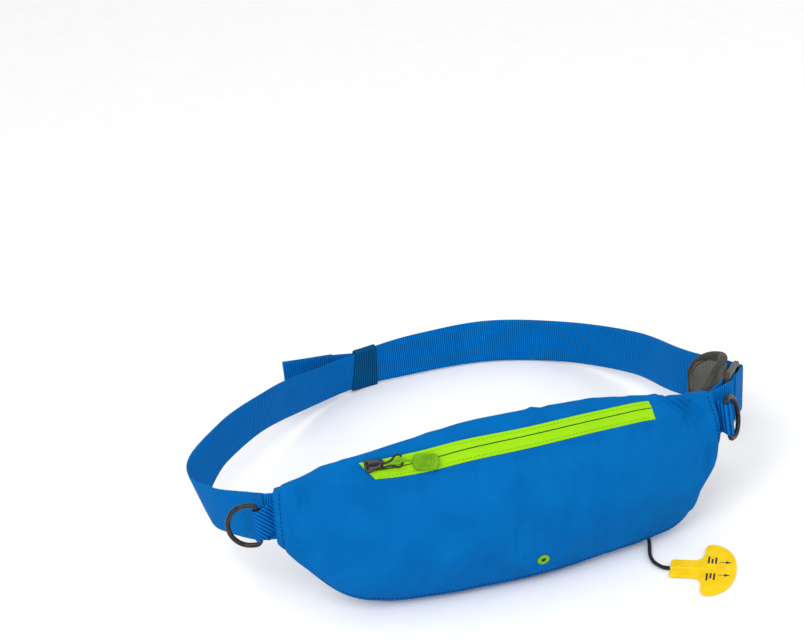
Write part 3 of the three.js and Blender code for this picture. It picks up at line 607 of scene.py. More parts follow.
pouchFacts = {
    "length": 366,
    "height": 137,
    "depth": 52,
    "frontShare": 0.55,
    "bow": 26,
    "lean": 12,            # degrees, top towards the wearer
    "wall": 1.5,
    "seamGap": 0.3,
    "webbingThick": 1.6,
    "strapThick": 1.3,
    "slotRun": 0.02,
    "slotEnd": 0.065,
    "endSeam": 4.5,        # from the pouch's ends
    "lowSeam": 4.0,        # above its lower edge
}
pouchRows = table(
    "along top bottom",
    (0, 0.736, 0.44),
    (0.05, 0.79, 0.275),
    (0.12, 0.86, 0.095),
    (0.2, 0.896, 0.027),
    (0.3, 0.94, 0.009),
    (0.42, 0.981, 0.007),
    (0.55, 0.976, 0.004),
    (0.68, 0.946, 0.014),
    (0.8, 0.886, 0.022),
    (0.88, 0.822, 0.055),
    (0.95, 0.765, 0.235),
    (1, 0.736, 0.45),
)
slotHalf = (2 * pouchFacts["webbingThick"] + 2 * pouchFacts["strapThick"] + 5 * pouchFacts["seamGap"]) / 2


def pouchFrame(along):
    f = pouchFacts
    bow = 1 - (2 * along - 1) ** 2
    foot = Vector(((along - 0.5) * f["length"], -f["bow"] * bow, f["wall"]))
    length = Vector((f["length"], 4 * f["bow"] * (2 * along - 1), 0)).normalized()
    level = Vector((length.y, -length.x, 0))
    lean = math.radians(f["lean"])
    height = up * math.cos(lean) - level * math.sin(lean)
    front = level * math.cos(lean) + up * math.sin(lean)
    return foot, length, height, front


def clothPoint(along, high, side):
    f = pouchFacts
    foot, _, height, front = pouchFrame(along)
    top = readTable(pouchRows, "top", along) * f["height"]
    bottom = readTable(pouchRows, "bottom", along) * f["height"]
    fullness = 0.14 + 0.86 * max(math.sin(math.pi * along), 0) ** 0.6
    profile = max(math.sin(math.pi * max(high, 0) ** 0.85), 0) ** 0.72
    fromEnd = min(along, 1 - along)
    slot = slotHalf * (1 - smooth((fromEnd - f["slotRun"]) / (f["slotEnd"] - f["slotRun"])))
    share = f["frontShare"] if side > 0 else 1 - f["frontShare"]
    out = max(f["seamGap"] / 2, slot) + share * f["depth"] * fullness * profile
    return foot + height * (bottom + (top - bottom) * high) + front * (side * out)


def clothNormal(along, high, side):
    step = 0.012
    a = min(max(along, step), 1 - step)
    h = min(max(high, step), 1 - step)
    run = clothPoint(a + step, h, side) - clothPoint(a - step, h, side)
    rise = clothPoint(a, h + step, side) - clothPoint(a, h - step, side)
    return run.cross(rise).normalized() * side


def onCloth(along, high, off, side=1):
    return clothPoint(along, high, side) + clothNormal(along, high, side) * off


def clothMap(along, high):
    return along * pouchFacts["length"] * mm, high * pouchFacts["height"] * mm


# folds from one place to another, as shares along and up the pouch; bend, width and lift in millimetres
frontFolds = table(
    "from to bend width lift",
    ((0.886, 0.985), (0.936, 0.62), 4, 1.8, 2.3),
    ((0.902, 0.985), (0.950, 0.66), 4, 1.6, 2.1),
    ((0.920, 0.985), (0.964, 0.72), 3, 1.6, 1.9),
    ((0.868, 0.985), (0.915, 0.70), 4, 2.0, 1.7),
    ((0.955, 0.52), (0.915, 0.30), 2, 2.4, 1.0),
    ((0.945, 0.36), (0.90, 0.17), 2, 2.6, 0.9),
    ((0.90, 0.07), (0.85, 0.20), 2, 2.8, 0.9),
    ((0.055, 0.30), (0.10, 0.48), -2, 2.6, 0.8),
    ((0.10, 0.14), (0.15, 0.30), -2, 2.8, 0.7),
    ((0.045, 0.93), (0.070, 0.45), -3, 2.4, 0.7),
    ((0.075, 0.95), (0.095, 0.66), -3, 2.4, 0.5),
    ((0.80, 0.03), (0.77, 0.24), 2, 3.2, 0.6),
    ((0.70, 0.02), (0.685, 0.14), 1, 3.0, 0.5),
    ((0.575, 0.99), (0.545, 0.95), 1, 3.4, 0.8),
    ((0.42, 0.99), (0.40, 0.955), 1, 4.0, 0.6),
    ((0.16, 0.05), (0.20, 0.22), -2, 3.4, 0.5),
)
backFolds = table(
    "from to bend width lift",
    ((0.10, 0.80), (0.24, 0.52), 6, 4.5, 0.9),
    ((0.90, 0.82), (0.77, 0.50), -6, 4.5, 0.9),
    ((0.88, 0.30), (0.74, 0.36), 4, 4.0, 0.7),
    ((0.14, 0.26), (0.28, 0.34), -4, 4.0, 0.7),
)
# puckers in the top edge: place along it, lift in millimetres, width
topPuckers = [(0.575, 1.3, 0.010), (0.60, -0.8, 0.009), (0.868, 1.4, 0.012), (0.893, -1.2, 0.009),
              (0.955, 1.2, 0.010), (0.10, 0.8, 0.012), (0.135, -0.6, 0.010), (0.34, 0.6, 0.02),
              (0.715, 0.7, 0.02), (0.79, -0.5, 0.015)]


def foldLift(x, y, folds):
    # x and y in millimetres along and up the pouch
    lift = 0.0
    for fold in folds:
        ax, ay = fold["from"][0] * pouchFacts["length"], fold["from"][1] * pouchFacts["height"]
        bx, by = fold["to"][0] * pouchFacts["length"], fold["to"][1] * pouchFacts["height"]
        long = math.hypot(bx - ax, by - ay)
        ux, uy = (bx - ax) / long, (by - ay) / long
        run = ((x - ax) * ux + (y - ay) * uy) / long
        if run < -0.25 or run > 1.25:
            continue
        off = (y - ay) * ux - (x - ax) * uy - fold["bend"] * math.sin(math.pi * min(max(run, 0), 1))
        if abs(off) > 5 * fold["width"]:
            continue
        window = smooth((run + 0.2) / 0.3) * (1 - smooth((run - 0.65) / 0.55))
        w = fold["width"]
        lift += fold["lift"] * window * (hump(off, 0, w) - 0.7 * hump(off, 1.6 * w, 0.9 * w))
    return lift


def clothDetail(along, high, side):
    f = pouchFacts
    x, y = along * f["length"], high * f["height"]
    lift = foldLift(x, y, frontFolds if side > 0 else backFolds)
    lift += 0.55 * noise.noise(Vector((x / 46, y / 30, 3.7 * side)))
    lift += 0.22 * noise.noise(Vector((x / 17, y / 12, 9.1 * side)))
    lift -= 0.75 * hump(min(along, 1 - along) * f["length"], f["endSeam"], 1.1)
    lift -= 0.55 * hump(y, f["lowSeam"], 1.2)
    if side > 0:
        lift += 1.5 * hump(along, 0.925, 0.045) * hump(high, 0.28, 0.24)   # fuller below the right end
        upper, lower = readTable(zipRows, "upper", along), readTable(zipRows, "lower", along)
        inZip = smooth((along - 0.175) / 0.02) * (1 - smooth((along - 0.84) / 0.02))
        for level, sign in ((upper, 1), (lower, -1)):
            off = (high - level) * f["height"] * sign
            lift += inZip * 0.7 * hump(off, 1.6, 1.3)                      # cloth folded back beside the zip
    return max(min(lift + settledLift(along, high, side), 4.2), -1.3)


zipRows = table(
    "along upper teeth lower",
    (0.19, 0.963, 0.907, 0.852),
    (0.26, 0.945, 0.888, 0.832),
    (0.35, 0.932, 0.879, 0.818),
    (0.52, 0.922, 0.879, 0.816),
    (0.7, 0.938, 0.893, 0.829),
    (0.842, 0.968, 0.922, 0.85),
)
eyeletFacts = {"along": 0.537, "up": 0.146, "outer": 9.6, "hole": 4.0, "thick": 1.0, "threads": 30}


# What the cloth does by itself: a little slack and air inside, held at its seams, its zip and the eyelet

settleFacts = {
    "rows": 80,
    "columns": 30,
    "pressure": 1.6,
    "slack": 0.014,
    "frames": 20,
    "cap": 2.2,
    "heldNear": 9,        # from the ends and round the eyelet
}
settled = {}


def heldThere(along, high, side):
    f = pouchFacts
    if min(along, 1 - along) * f["length"] < settleFacts["heldNear"] or high < 0.05 or high > 0.985:
        return True
    if side < 0:
        return 0.2 < high < 0.24 or 0.72 < high < 0.76
    inZip = readTable(zipRows, "lower", along) - 0.02 < high < readTable(zipRows, "upper", along) + 0.015
    near = math.hypot((along - eyeletFacts["along"]) * f["length"], (high - eyeletFacts["up"]) * f["height"])
    return (inZip and 0.17 < along < 0.85) or near < settleFacts["heldNear"]


def settlePouch(f):
    rows, columns = f["rows"], f["columns"]
    points, keys = [], []
    for i in range(rows + 1):
        for side, order in ((1, range(columns + 1)), (-1, range(columns, -1, -1))):
            for j in order:
                points.append(onCloth(i / rows, j / columns, pouchFacts["wall"], side))
                keys.append((side, i, j))
    ring = 2 * (columns + 1)
    faces = gridFaces(rows + 1, ring, closed=True)
    faces += [tuple(range(ring)), tuple(range(rows * ring, (rows + 1) * ring))]
    trial = makeMesh("pouchTrial", points, faces)
    held = trial.vertex_groups.new(name="held")
    fixed = [k for k, (side, i, j) in enumerate(keys) if heldThere(i / rows, j / columns, side)]
    held.add(fixed, 1.0, "REPLACE")
    cloth = trial.modifiers.new("settle", "CLOTH")
    cloth.settings.quality = 5
    cloth.settings.mass = 0.25
    cloth.settings.bending_stiffness = 0.12
    cloth.settings.shrink_min = -f["slack"]
    cloth.settings.use_pressure = True
    cloth.settings.uniform_pressure_force = f["pressure"]
    cloth.settings.vertex_group_mass = "held"
    cloth.settings.effector_weights.gravity = 0
    cloth.collision_settings.use_collision = False
    scene = bpy.context.scene
    for step in range(1, f["frames"] + 1):
        scene.frame_set(step)
    after = trial.evaluated_get(bpy.context.evaluated_depsgraph_get())
    normals = [v.normal.copy() for v in trial.data.vertices]
    for key, old, new, n in zip(keys, trial.data.vertices, after.data.vertices, normals):
        lift = (new.co - old.co).dot(n) / mm
        settled[key] = max(min(lift, f["cap"]), -f["cap"])
    bpy.data.objects.remove(trial)
    scene.frame_set(1)
    lifts = [abs(v) for v in settled.values()]
    mean = sum(lifts) / len(lifts)
    print("cloth settled, up to", round(max(lifts), 2), "mm, on average", round(mean, 2), "mm")


def settledLift(along, high, side):
    # smooth reading of the settled lifts between the trial cloth's points
    if not settled:
        return 0.0
    rows, columns = settleFacts["rows"], settleFacts["columns"]
    x, y = min(max(along, 0), 1) * rows, min(max(high, 0), 1) * columns
    i, j = min(int(x), rows - 1), min(int(y), columns - 1)
    u, v = x - i, y - j

    def weights(t):
        t2, t3 = t * t, t ** 3
        return (-t + 2 * t2 - t3) / 2, (2 - 5 * t2 + 3 * t3) / 2, (t + 4 * t2 - 3 * t3) / 2, (t3 - t2) / 2

    total = 0.0
    for a, wa in zip(range(-1, 3), weights(u)):
        for b, wb in zip(range(-1, 3), weights(v)):
            total += wa * wb * settled[(side, min(max(i + a, 0), rows), min(max(j + b, 0), columns))]
    return total


settlePouch(settleFacts)


def makePouch(facts):
    rows, columns = ((300, 104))
    eyelet = onCloth(eyeletFacts["along"], eyeletFacts["up"], facts["wall"])
    points, uvs, holeAt = [], [], set()
    for i in range(rows + 1):
        even = i / rows
        along = even - 0.03 * math.sin(2 * math.pi * even)
        pucker = sum(lift * hump(along, at, wide) for at, lift, wide in topPuckers)
        for side, order in ((1, range(columns + 1)), (-1, range(columns, -1, -1))):
            for j in order:
                share = j / columns
                high = share - 0.1 * math.sin(2 * math.pi * share)
                p = onCloth(along, high, facts["wall"] + clothDetail(along, high, side), side)
                p += up * pucker * smooth((high - 0.86) / 0.14)
                p.z = max(p.z, 0.1)                          # stays on the table
                if side > 0 and (p - eyelet).length < eyeletFacts["hole"] / 2 + 0.5:
                    holeAt.add(len(points))
                points.append(p)
                uvs.append(clothMap(along, high))
    ring = 2 * (columns + 1)
    faces = [f for f in gridFaces(rows + 1, ring, closed=True) if not all(v in holeAt for v in f)]
    for base in (0, rows * ring):
        for j in range(columns):
            faces.append((base + j, base + j + 1, base + ring - 2 - j, base + ring - 1 - j))
    pouch = makeMesh("pouch", points, faces, uvs)
    dress(pouch, blueCloth, replaces=["pouch_front", "pouch_back"])


def stitchRun(places, long=2.2, gap=1.3, lift=0.25):
    # cuts a dense line of (point, outward) pairs into single stitches that dip at both ends
    lines, run, current, before = [], 0.0, [], None
    period = long + gap
    for p, n in places:
        run += (p - before).length if before is not None else 0.0
        before = p
        phase = run % period
        if phase < long:
            current.append(p + n * lift * math.sin(math.pi * min(max(phase / long, 0.0), 1.0)))
        else:
            if len(current) > 2:
                lines.append(current)
            current = []
    return lines


def clothLine(fromPlace, toPlace, side=1, off=0.0, steps=160):
    out = []
    for i in range(steps + 1):
        t = i / steps
        along, high = blendTo(fromPlace[0], toPlace[0], t), blendTo(fromPlace[1], toPlace[1], t)
        n = clothNormal(along, high, side)
        lift = pouchFacts["wall"] + clothDetail(along, high, side) + off
        out.append((clothPoint(along, high, side) + n * lift, n))
    return out


makePouch(pouchFacts)
seamStitches = []
endSeamAt = pouchFacts["endSeam"] / pouchFacts["length"]
lowSeamAt = pouchFacts["lowSeam"] / pouchFacts["height"]
for side in (1, -1):
    for along in (endSeamAt, 1 - endSeamAt):
        seamStitches += stitchRun(clothLine((along, 0.03), (along, 0.97), side, 0.12))
    seamStitches += stitchRun(clothLine((0.08, lowSeamAt), (0.92, lowSeamAt), side, 0.1, 900), 2.4, 1.2)
dress(manyTubes("pouchStitches", seamStitches, 0.28, 5), blueStitch)
print("pouch made")


# Packed float inside the pouch: a folded bladder

floatFacts = {"gap": 0.9, "folds": 5, "foldDepth": 1.6}


def makeFloat(facts):
    rows, columns = 70, 28
    rings, uvs = [], []
    for i in range(rows + 1):
        along = blendTo(0.155, 0.845, i / rows)
        ring = []
        for side, order in ((1, range(2, columns - 1)), (-1, range(columns - 2, 1, -1))):
            for j in order:
                high = j / columns
                crease = facts["foldDepth"] * abs(math.sin(math.pi * facts["folds"] * high)) ** 0.5
                ring.append(onCloth(along, high, -facts["gap"] - facts["foldDepth"] + crease, side))
                uvs.append(clothMap(along, high))
        rings.append(ring)
    return ringLoft("packedFloat", rings, uvs)


floatCloth = wovenCloth("floatCloth", (206, 208, 200), (230, 230, 224), 0.9)
packedFloat = dress(makeFloat(floatFacts), floatCloth, replaces=["packed_float"])


# Zip: two tapes that meet over the coil, slider, wire bail, cord loop and toggle

zipFacts = {"tape": 0.9, "coil": 3.2, "slant": 0.03, "start": 0.184}
zipLift = pouchFacts["wall"] + pouchFacts["seamGap"]
zipTop = pouchFacts["seamGap"] + zipFacts["tape"]
coilTop = zipTop + 1.1


def makeZipTape(name, low, high, lips):
    # lips: which edge, 0 or 1, curls up over the coil
    rows, columns = 220, 14
    coilShare = zipFacts["coil"] / pouchFacts["height"]
    outer, inner, uvs = [], [], []
    for i in range(rows + 1):
        along = blendTo(zipFacts["start"], zipRows[-1]["along"], i / rows)
        a, b = readTable(zipRows, low, along), readTable(zipRows, high, along)
        if lips:
            b -= coilShare * 0.1
        else:
            a += coilShare * 0.1
        for j in range(columns + 1):
            share = j / columns
            level = blendTo(a, b, share)
            slant = (zipFacts["slant"] * (1 - i / rows) ** 8
                     * (readTable(zipRows, "upper", along) - level) / 0.11)
            fromLip = (1 - share if lips else share) * (b - a) * pouchFacts["height"]
            rise = 0.75 * hump(max(fromLip, 0.7), 0.7, 1.5)
            drop = 0.35 * hump(fromLip, 0, 0.4)
            fromEdge = (share if lips else 1 - share) * (b - a) * pouchFacts["height"]
            tuck = 0.5 * hump(fromEdge, 0, 1.0)
            outer.append(onCloth(along + slant, level, zipLift + zipFacts["tape"] + rise - drop - tuck))
            inner.append(onCloth(along + slant, level, zipLift - 0.1))
            uvs.append(clothMap(along, level))
    count = columns + 1
    faces = gridFaces(rows + 1, count)
    faces += [tuple(v + len(outer) for v in reversed(f)) for f in gridFaces(rows + 1, count)]
    n = len(outer)
    for i in range(rows):
        for j in (0, columns):
            p, q = i * count + j, (i + 1) * count + j
            faces.append((p, q, n + q, n + p))
    for j in range(columns):
        for i in (0, rows):
            p = i * count + j
            faces.append((p, p + 1, n + p + 1, n + p))
    return makeMesh(name, outer + inner, faces, uvs + uvs)


for name, low, high, lips, node in (("zipTapeUpper", "teeth", "upper", 0, "zip_tape_upper"),
                                    ("zipTapeLower", "lower", "teeth", 1, "zip_tape_lower")):
    dress(makeZipTape(name, low, high, lips), limeTape, replaces=[node])


def makeCoil():
    # the coil under the lips, one small loop each 1.1 mm
    lines = []
    count = 210
    for i in range(count):
        along = blendTo(0.2, 0.838, i / (count - 1))
        level = readTable(zipRows, "teeth", along)
        half = 0.9 / pouchFacts["height"]
        sign = 1 if i % 2 else -1
        lines.append([onCloth(along, level + sign * half * a, pouchFacts["wall"] + zipTop + 0.25 * b)
                      for a, b in ((1, -0.4), (0.4, 0.6), (-0.4, 0.6), (-0.8, -0.2))])
    return manyTubes("zipCoil", lines, 0.32, 5)


dress(makeCoil(), zipShadow, replaces=["zip_teeth"])
tapeStitches = []
for column, off in (("upper", -2.1), ("lower", 2.1)):
    line = []
    for i in range(901):
        along = blendTo(0.2 if column == "upper" else 0.222, 0.835, i / 900)
        level = readTable(zipRows, column, along) + off / pouchFacts["height"]
        n = clothNormal(along, level, 1)
        line.append((clothPoint(along, level, 1) + n * (zipLift + zipFacts["tape"] + 0.05), n))
    tapeStitches += stitchRun(line, 2.0, 1.2, 0.15)
dress(manyTubes("zipStitches", tapeStitches, 0.2, 5), limeThread)


def frontTurn(fromPlace, toPlace, lift):
    middle = ((fromPlace[0] + toPlace[0]) / 2, (fromPlace[1] + toPlace[1]) / 2)
    x = (onCloth(*toPlace, 0) - onCloth(*fromPlace, 0)).normalized()
    n = clothNormal(*middle, 1)
    x = (x - n * x.dot(n)).normalized()
    return turnTo(onCloth(*middle, pouchFacts["wall"] + lift), x, n.cross(x), n)


sliderFacts = {
    "along": 0.216,
    "up": 0.928,
    "long": 15,
    "wide": 11,
    "thick": 3.4,
    "half": [(-1, 0.62), (-0.8, 0.92), (-0.45, 1), (0.1, 0.72), (0.6, 0.66), (1, 0.45)],    # half its outline
}
toggleFacts = {
    "from": (0.297, 0.888),
    "to": (0.348, 0.853),
    "long": 20,
    "wide": 12.6,
    "thick": 4,
    "round": 4.2,
}
# wires and cords over the zip: millimetres right of the start, share up the pouch, millimetres over the base
pullFacts = {
    "start": 0.218,
    "wireBase": coilTop + 4.4,
    "wireThick": 1.7,
    "upperWire": [(4.5, 0.917, -1.2), (8, 0.918, 0), (12.5, 0.924, 0.4), (16.5, 0.94, 0.2), (19.3, 0.939, 0),
                  (20.8, 0.927, 0)],
    "lowerWire": [(4.5, 0.9, -1.2), (9, 0.899, 0), (13, 0.896, 0.3), (17, 0.881, 0.2), (19.8, 0.884, 0),
                  (21.2, 0.897, 0)],
    "cordBase": coilTop + 1.6,
    "cordThick": (2.5, 1.4),
    "knot": [(6.5, 0.912, 1.6), (11, 0.912, 1.8), (15, 0.916, 1.9), (18.4, 0.921, 1.6), (20.2, 0.911, 0.8),
             (18.6, 0.9, 1.6), (15, 0.903, 1.9), (11, 0.905, 1.8), (6.5, 0.904, 1.6)],
    "lead": [(19.6, 0.911, 0.9), (23, 0.9095, 0.2), (26, 0.904, 0), (29.5, 0.897, 0.4)],
}


def onPlate(turn, x, y, z):
    # a plate's own place in millimetres, as a place in the tables' frame
    return turn @ Vector((x * mm, y * mm, z * mm)) / mm - packShift


def makeSlider(f):
    lift = coilTop + 0.3 + f["thick"] / 2
    turn = frontTurn((f["along"] - 0.04, f["up"] + 0.006), (f["along"] + 0.04, f["up"] - 0.006), lift)
    long, wide, top = f["long"] / 2, f["wide"] / 2, f["thick"] / 2
    outline = [(x * long, -y * wide) for x, y in f["half"]]
    outline += [(x, -y) for x, y in reversed(outline)]
    slider = plate("zipSlider", [outline], f["thick"], 0.6, turn)
    dress(slider, blackMetal, replaces=["zip_slider"])
    bridge = []
    for i in range(13):
        t = i / 12
        bridge.append(onPlate(turn, (-0.42 + 0.84 * t) * long, 0, top + 1.7 * math.sin(math.pi * t)))
    ribs = [[onPlate(turn, x, y * wide, top + 0.1) for y in (-0.55, 0, 0.55)] for x in (-5.6, -4.6, 5.4)]
    dress(manyTubes("sliderBridge", [bridge], 1.15, 10), blackMetal, under=slider)
    dress(manyTubes("sliderRibs", ribs, 0.5, 8), blackMetal, under=slider)


def overZip(route, base, steps):
    places = []
    for right, level, off in route:
        along = pullFacts["start"] + right / pouchFacts["length"]
        places.append(onCloth(along, level, pouchFacts["wall"] + base + off))
    path = Path(places)
    return [path.at(i / steps) for i in range(steps + 1)]


def makeBail(f):
    # wire bow whose two prongs close towards each other
    lines = [overZip(f[route], f["wireBase"], 40) for route in ("upperWire", "lowerWire")]
    return manyTubes("sliderBail", lines, f["wireThick"] / 2, 10)


def makePullLoop(f):
    # thick cord knotted through the bow, then a thin one on to the toggle
    lines = [overZip(f["knot"], f["cordBase"], 70), overZip(f["lead"], f["cordBase"], 20)]
    return manyTubes("pullLoop", lines, tuple(thick / 2 for thick in f["cordThick"]), 12)


def makeToggle(f):
    turn = frontTurn(f["from"], f["to"], zipTop + 0.3 + f["thick"] / 2 + 1)
    outline = roundedCorners(f["long"], f["wide"], f["round"])
    toggle = plate("pullToggle", [outline], f["thick"], 1.2, turn, 4)
    dress(toggle, greenToggle, replaces=["pull_toggle"])
    rings = []                                        # plain raised rings on its face
    for half in (0.62, 0.4, 0.18):
        corners = roundedCorners(f["long"] * half, f["wide"] * half, min(f["round"], f["wide"] * half / 2.1))
        line = [onPlate(turn, x, y, f["thick"] / 2 + 0.02) for x, y in corners]
        rings.append(line + line[:1])
    dress(manyTubes("toggleRings", rings, 0.4, 6), greenToggle, under=toggle)


makeSlider(sliderFacts)
dress(makeBail(pullFacts), blackMetal, replaces=["slider_bail"])
dress(makePullLoop(pullFacts), limeCord, replaces=["pull_loop"])
makeToggle(toggleFacts)
print("zip and pull made")


# Stitched eyelet

def makeEyelet(f):
    n = clothNormal(f["along"], f["up"], 1)
    x = clothPoint(f["along"] + 0.01, f["up"], 1) - clothPoint(f["along"] - 0.01, f["up"], 1)
    x = (x - n * x.dot(n)).normalized()
    y = n.cross(x)
    centre = onCloth(f["along"], f["up"], pouchFacts["wall"] + 0.15)
    inner, outer = f["hole"] / 2, f["outer"] / 2

    def turned(profile, count):
        return [[centre + (x * c + y * s) * r + n * z for r, z in profile] for c, s in circle(count)]

    rim = [(inner, 0.2), (inner + 0.25, 0.75), (inner + 1.0, 1.05), (outer - 0.8, 0.95), (outer - 0.1, 0.55),
           (outer, 0.1), (outer - 0.3, -0.1), (inner + 0.2, -0.1)]
    thread = [(inner + 0.05, 0.45), (inner + 0.5, 1.05), (inner + 1.5, 1.22), (outer - 0.6, 1.0),
              (outer + 0.05, 0.35)]
    # painted shade: a dark sleeve round the hole's wall
    holeShadeProfile = [(inner + 0.3, 0.3), (inner - 0.25, 0.1), (inner - 0.3, -1.2), (inner + 0.4, -1.4)]
    base = ringLoft("eyeletRing", turned(rim, 64), closedRun=True)
    dress(base, limeThread, replaces=["eyelet"])
    dress(manyTubes("eyeletThreads", turned(thread, f["threads"]), 0.3, 5), limeThread, under=base)
    dress(ringLoft("eyeletHoleShade", turned(holeShadeProfile, 40), closedRun=True), holeShade, under=base)


makeEyelet(eyeletFacts)


# Belt, keeper and hem

beltFacts = {
    "width": 38,
    "thick": 1.6,
    "loopWidth": 450,
    "loopDepth": 317,
    "layerGap": 0.6,
    "tuck": 5,
    "keeperWidth": 24,
    "keeperWall": 0.9,
    "keeperAt": 0.577,
    "hemLength": 46,
    "hemThick": 1.2,
    "buckleSpread": 0.066,
    "bendSpread": 0.035,
}
beltRows = table(
    "across back rise lean",
    (-0.87, 0.103, 0.92, 14),
    (-0.964, 0.203, 0.8, 1),
    (-1, 0.329, 0.66, -15),
    (-0.969, 0.45, 0.55, -18),
    (-0.836, 0.583, 0.57, -3),
    (-0.63, 0.719, 0.51, 6),
    (-0.402, 0.883, 0.19, 8),
    (-0.181, 0.978, 0.04, 9),
    (0.082, 1, 0.025, -4),
    (0.361, 0.989, 0.01, -12),
    (0.621, 0.895, 0.02, -8),
    (0.821, 0.684, 0.226, -11),
    (0.877, 0.422, 0.582, -16),
)
tailRows = table(
    "across back rise",
    (-0.293, 0.977, 0.085),
    (-0.395, 0.968, 0.13),
    (-0.492, 0.958, 0.18),
)
buckleFacts = {
    "reach": 24.5,        # end seam to the near bar
    "anchorTurn": 37,
    "spacing": 22.5,
    "bar": 5,
    "high": 49,
    "thick": 4.6,
    "round": 5,
    "turn": 58,           # degrees from +X towards the back
    "dip": 17,            # degrees down towards the back
}


def endSeam(along):
    foot, length, height, front = pouchFrame(along)
    middle = (readTable(pouchRows, "top", along) + readTable(pouchRows, "bottom", along)) / 2
    centre = foot + height * middle * pouchFacts["height"]
    return {"centre": centre, "out": length * (-1 if along < 0.5 else 1), "height": height, "front": front}


def heading(turn, dip):
    turn, dip = math.radians(turn), math.radians(dip)
    return Vector((math.cos(turn) * math.cos(dip), math.sin(turn) * math.cos(dip), -math.sin(dip)))


leftSeam, rightSeam = endSeam(0), endSeam(1)
gap = pouchFacts["seamGap"]
strapFrontLayer = slotHalf - gap - pouchFacts["strapThick"] / 2
strapBackLayer = strapFrontLayer - pouchFacts["strapThick"] - gap
webbingFrontLayer = strapBackLayer - (pouchFacts["strapThick"] + beltFacts["thick"]) / 2 - gap
webbingBackLayer = webbingFrontLayer - beltFacts["thick"] - gap
buckleAlong = heading(buckleFacts["turn"], buckleFacts["dip"])
buckleOut = buckleAlong.cross(up).normalized()
buckleUp = buckleOut.cross(buckleAlong).normalized()
nearBar = rightSeam["centre"] + heading(buckleFacts["anchorTurn"], 2) * buckleFacts["reach"]
wrapOff = buckleFacts["thick"] / 2 + beltFacts["layerGap"] + beltFacts["thick"] / 2
turnOff = buckleFacts["bar"] / 2 + beltFacts["thick"] / 2 + 1.1


def fromSeam(seam, out, layer):
    return seam["centre"] + seam["out"] * out + seam["front"] * layer


def barAt(n):
    return nearBar + buckleAlong * (n * buckleFacts["spacing"])


def barBend(centre, facing, towards, around=24):
    def square(x):
        return math.copysign(abs(x) ** 0.55, x)

    out = []
    for i in range(around + 1):
        turn = math.pi * i / around
        off = facing * (wrapOff * square(math.cos(turn))) + towards * (turnOff * square(math.sin(turn)))
        out.append(centre + off)
    return out


def loopPlace(row):
    endRise = leftSeam["centre"].z - beltFacts["width"] / 2
    return Vector((row["across"] * beltFacts["loopWidth"] / 2, row["back"] * beltFacts["loopDepth"],
                   beltFacts["width"] / 2 + row["rise"] * endRise))


def beltStations(steps):
    f = beltFacts
    points = ([fromSeam(leftSeam, 8, webbingFrontLayer)] + [loopPlace(row) for row in beltRows]
              + [barAt(2) - buckleOut * wrapOff + buckleAlong * 8])
    leans = [pouchFacts["lean"]] + [row["lean"] for row in beltRows] + [0]
    path = Path(points)
    stations = []
    for i in range(steps + 1):
        u = i / steps
        ahead = path.ahead(u)
        run = u * (len(points) - 1)
        k = min(int(run), len(points) - 2)
        lean = math.radians(blendTo(leans[k], leans[k + 1], smooth(run - k)))
        inward = ahead.cross(up).normalized()
        w = inward.cross(ahead).normalized() * math.cos(lean) + inward * math.sin(lean)
        stations.append({"u": u, "p": path.at(u), "w": w, "inward": ahead.cross(w).normalized()})
    stations[0]["w"] = leftSeam["height"].copy()
    for s in stations:
        if s["u"] > 1 - f["bendSpread"]:
            share = smooth((s["u"] - 1 + f["bendSpread"]) / f["bendSpread"])
            s["w"] = s["w"].lerp(buckleUp, share).normalized()
            s["inward"] = s["inward"].lerp(-buckleOut, share).normalized()
    return stations


def beltAt(stations, u):
    k = next(i for i, s in enumerate(stations) if s["u"] > u)
    a, b = stations[k - 1], stations[k]
    share = (u - a["u"]) / (b["u"] - a["u"])
    return {"u": u, "p": a["p"].lerp(b["p"], share), "w": a["w"].lerp(b["w"], share).normalized(),
            "inward": a["inward"].lerp(b["inward"], share).normalized()}


loadLayer = beltStations(378)
beltLength = sum((b["p"] - a["p"]).length for a, b in zip(loadLayer, loadLayer[1:]))
keeperHalf = beltFacts["keeperWidth"] / 2 / beltLength


def outerStations():
    f = beltFacts
    step = f["thick"] + f["layerGap"]
    first = beltAt(loadLayer, f["keeperAt"] - keeperHalf - 0.002)
    doubled = [first] + [s for s in loadLayer if s["u"] > first["u"]]
    out = []
    for s in reversed(doubled):
        nearBuckle = smooth(1 - (1 - s["u"]) / f["buckleSpread"])
        off = step + (2 * wrapOff - step) * nearBuckle
        out.append({"p": s["p"] - s["inward"] * off, "w": s["w"]})
    return out


def tailStations(start, steps=40):
    path = Path([start["p"]] + [loopPlace(row) for row in tailRows])
    out = []
    for i in range(1, steps + 1):
        u = i / steps
        w = start["w"].lerp(up, u).normalized()
        out.append({"p": path.evenly(u), "w": w, "left": path.length() * (1 - u)})
    return out


outerLayer = outerStations()
tail = tailStations(outerLayer[-1])


def webbing(name, stations, width, thick, edge=0.5):
    # flat band with rounded selvedges; uv runs along it and across it in metres
    half, columns = thick / 2, 14
    section = [(blendTo(-1, 1, j / columns), 1.0) for j in range(columns + 1)]
    section += [(1.0, 0.0)]
    section += [(blendTo(1, -1, j / columns), -1.0) for j in range(columns + 1)]
    section += [(-1.0, 0.0)]
    rings, uvs, run, before = [], [], 0.0, None
    for i, s in enumerate(stations):
        a, b = stations[max(i - 1, 0)]["p"], stations[min(i + 1, len(stations) - 1)]["p"]
        side = (b - a).normalized().cross(s["w"]).normalized()
        run += (s["p"] - before).length if before is not None else 0.0
        before = s["p"]
        ring = []
        for wide, deep in section:
            corner = abs(wide) == 1 and deep != 0
            x = wide * (width / 2 - (edge if corner else 0))
            z = deep * half * (0.72 if corner else 1.0)
            ring.append(s["p"] + s["w"] * x + side * z)
            uvs.append((run * mm, x * mm))
        rings.append(ring)
    return ringLoft(name, rings, uvs, sharpAngle=70)


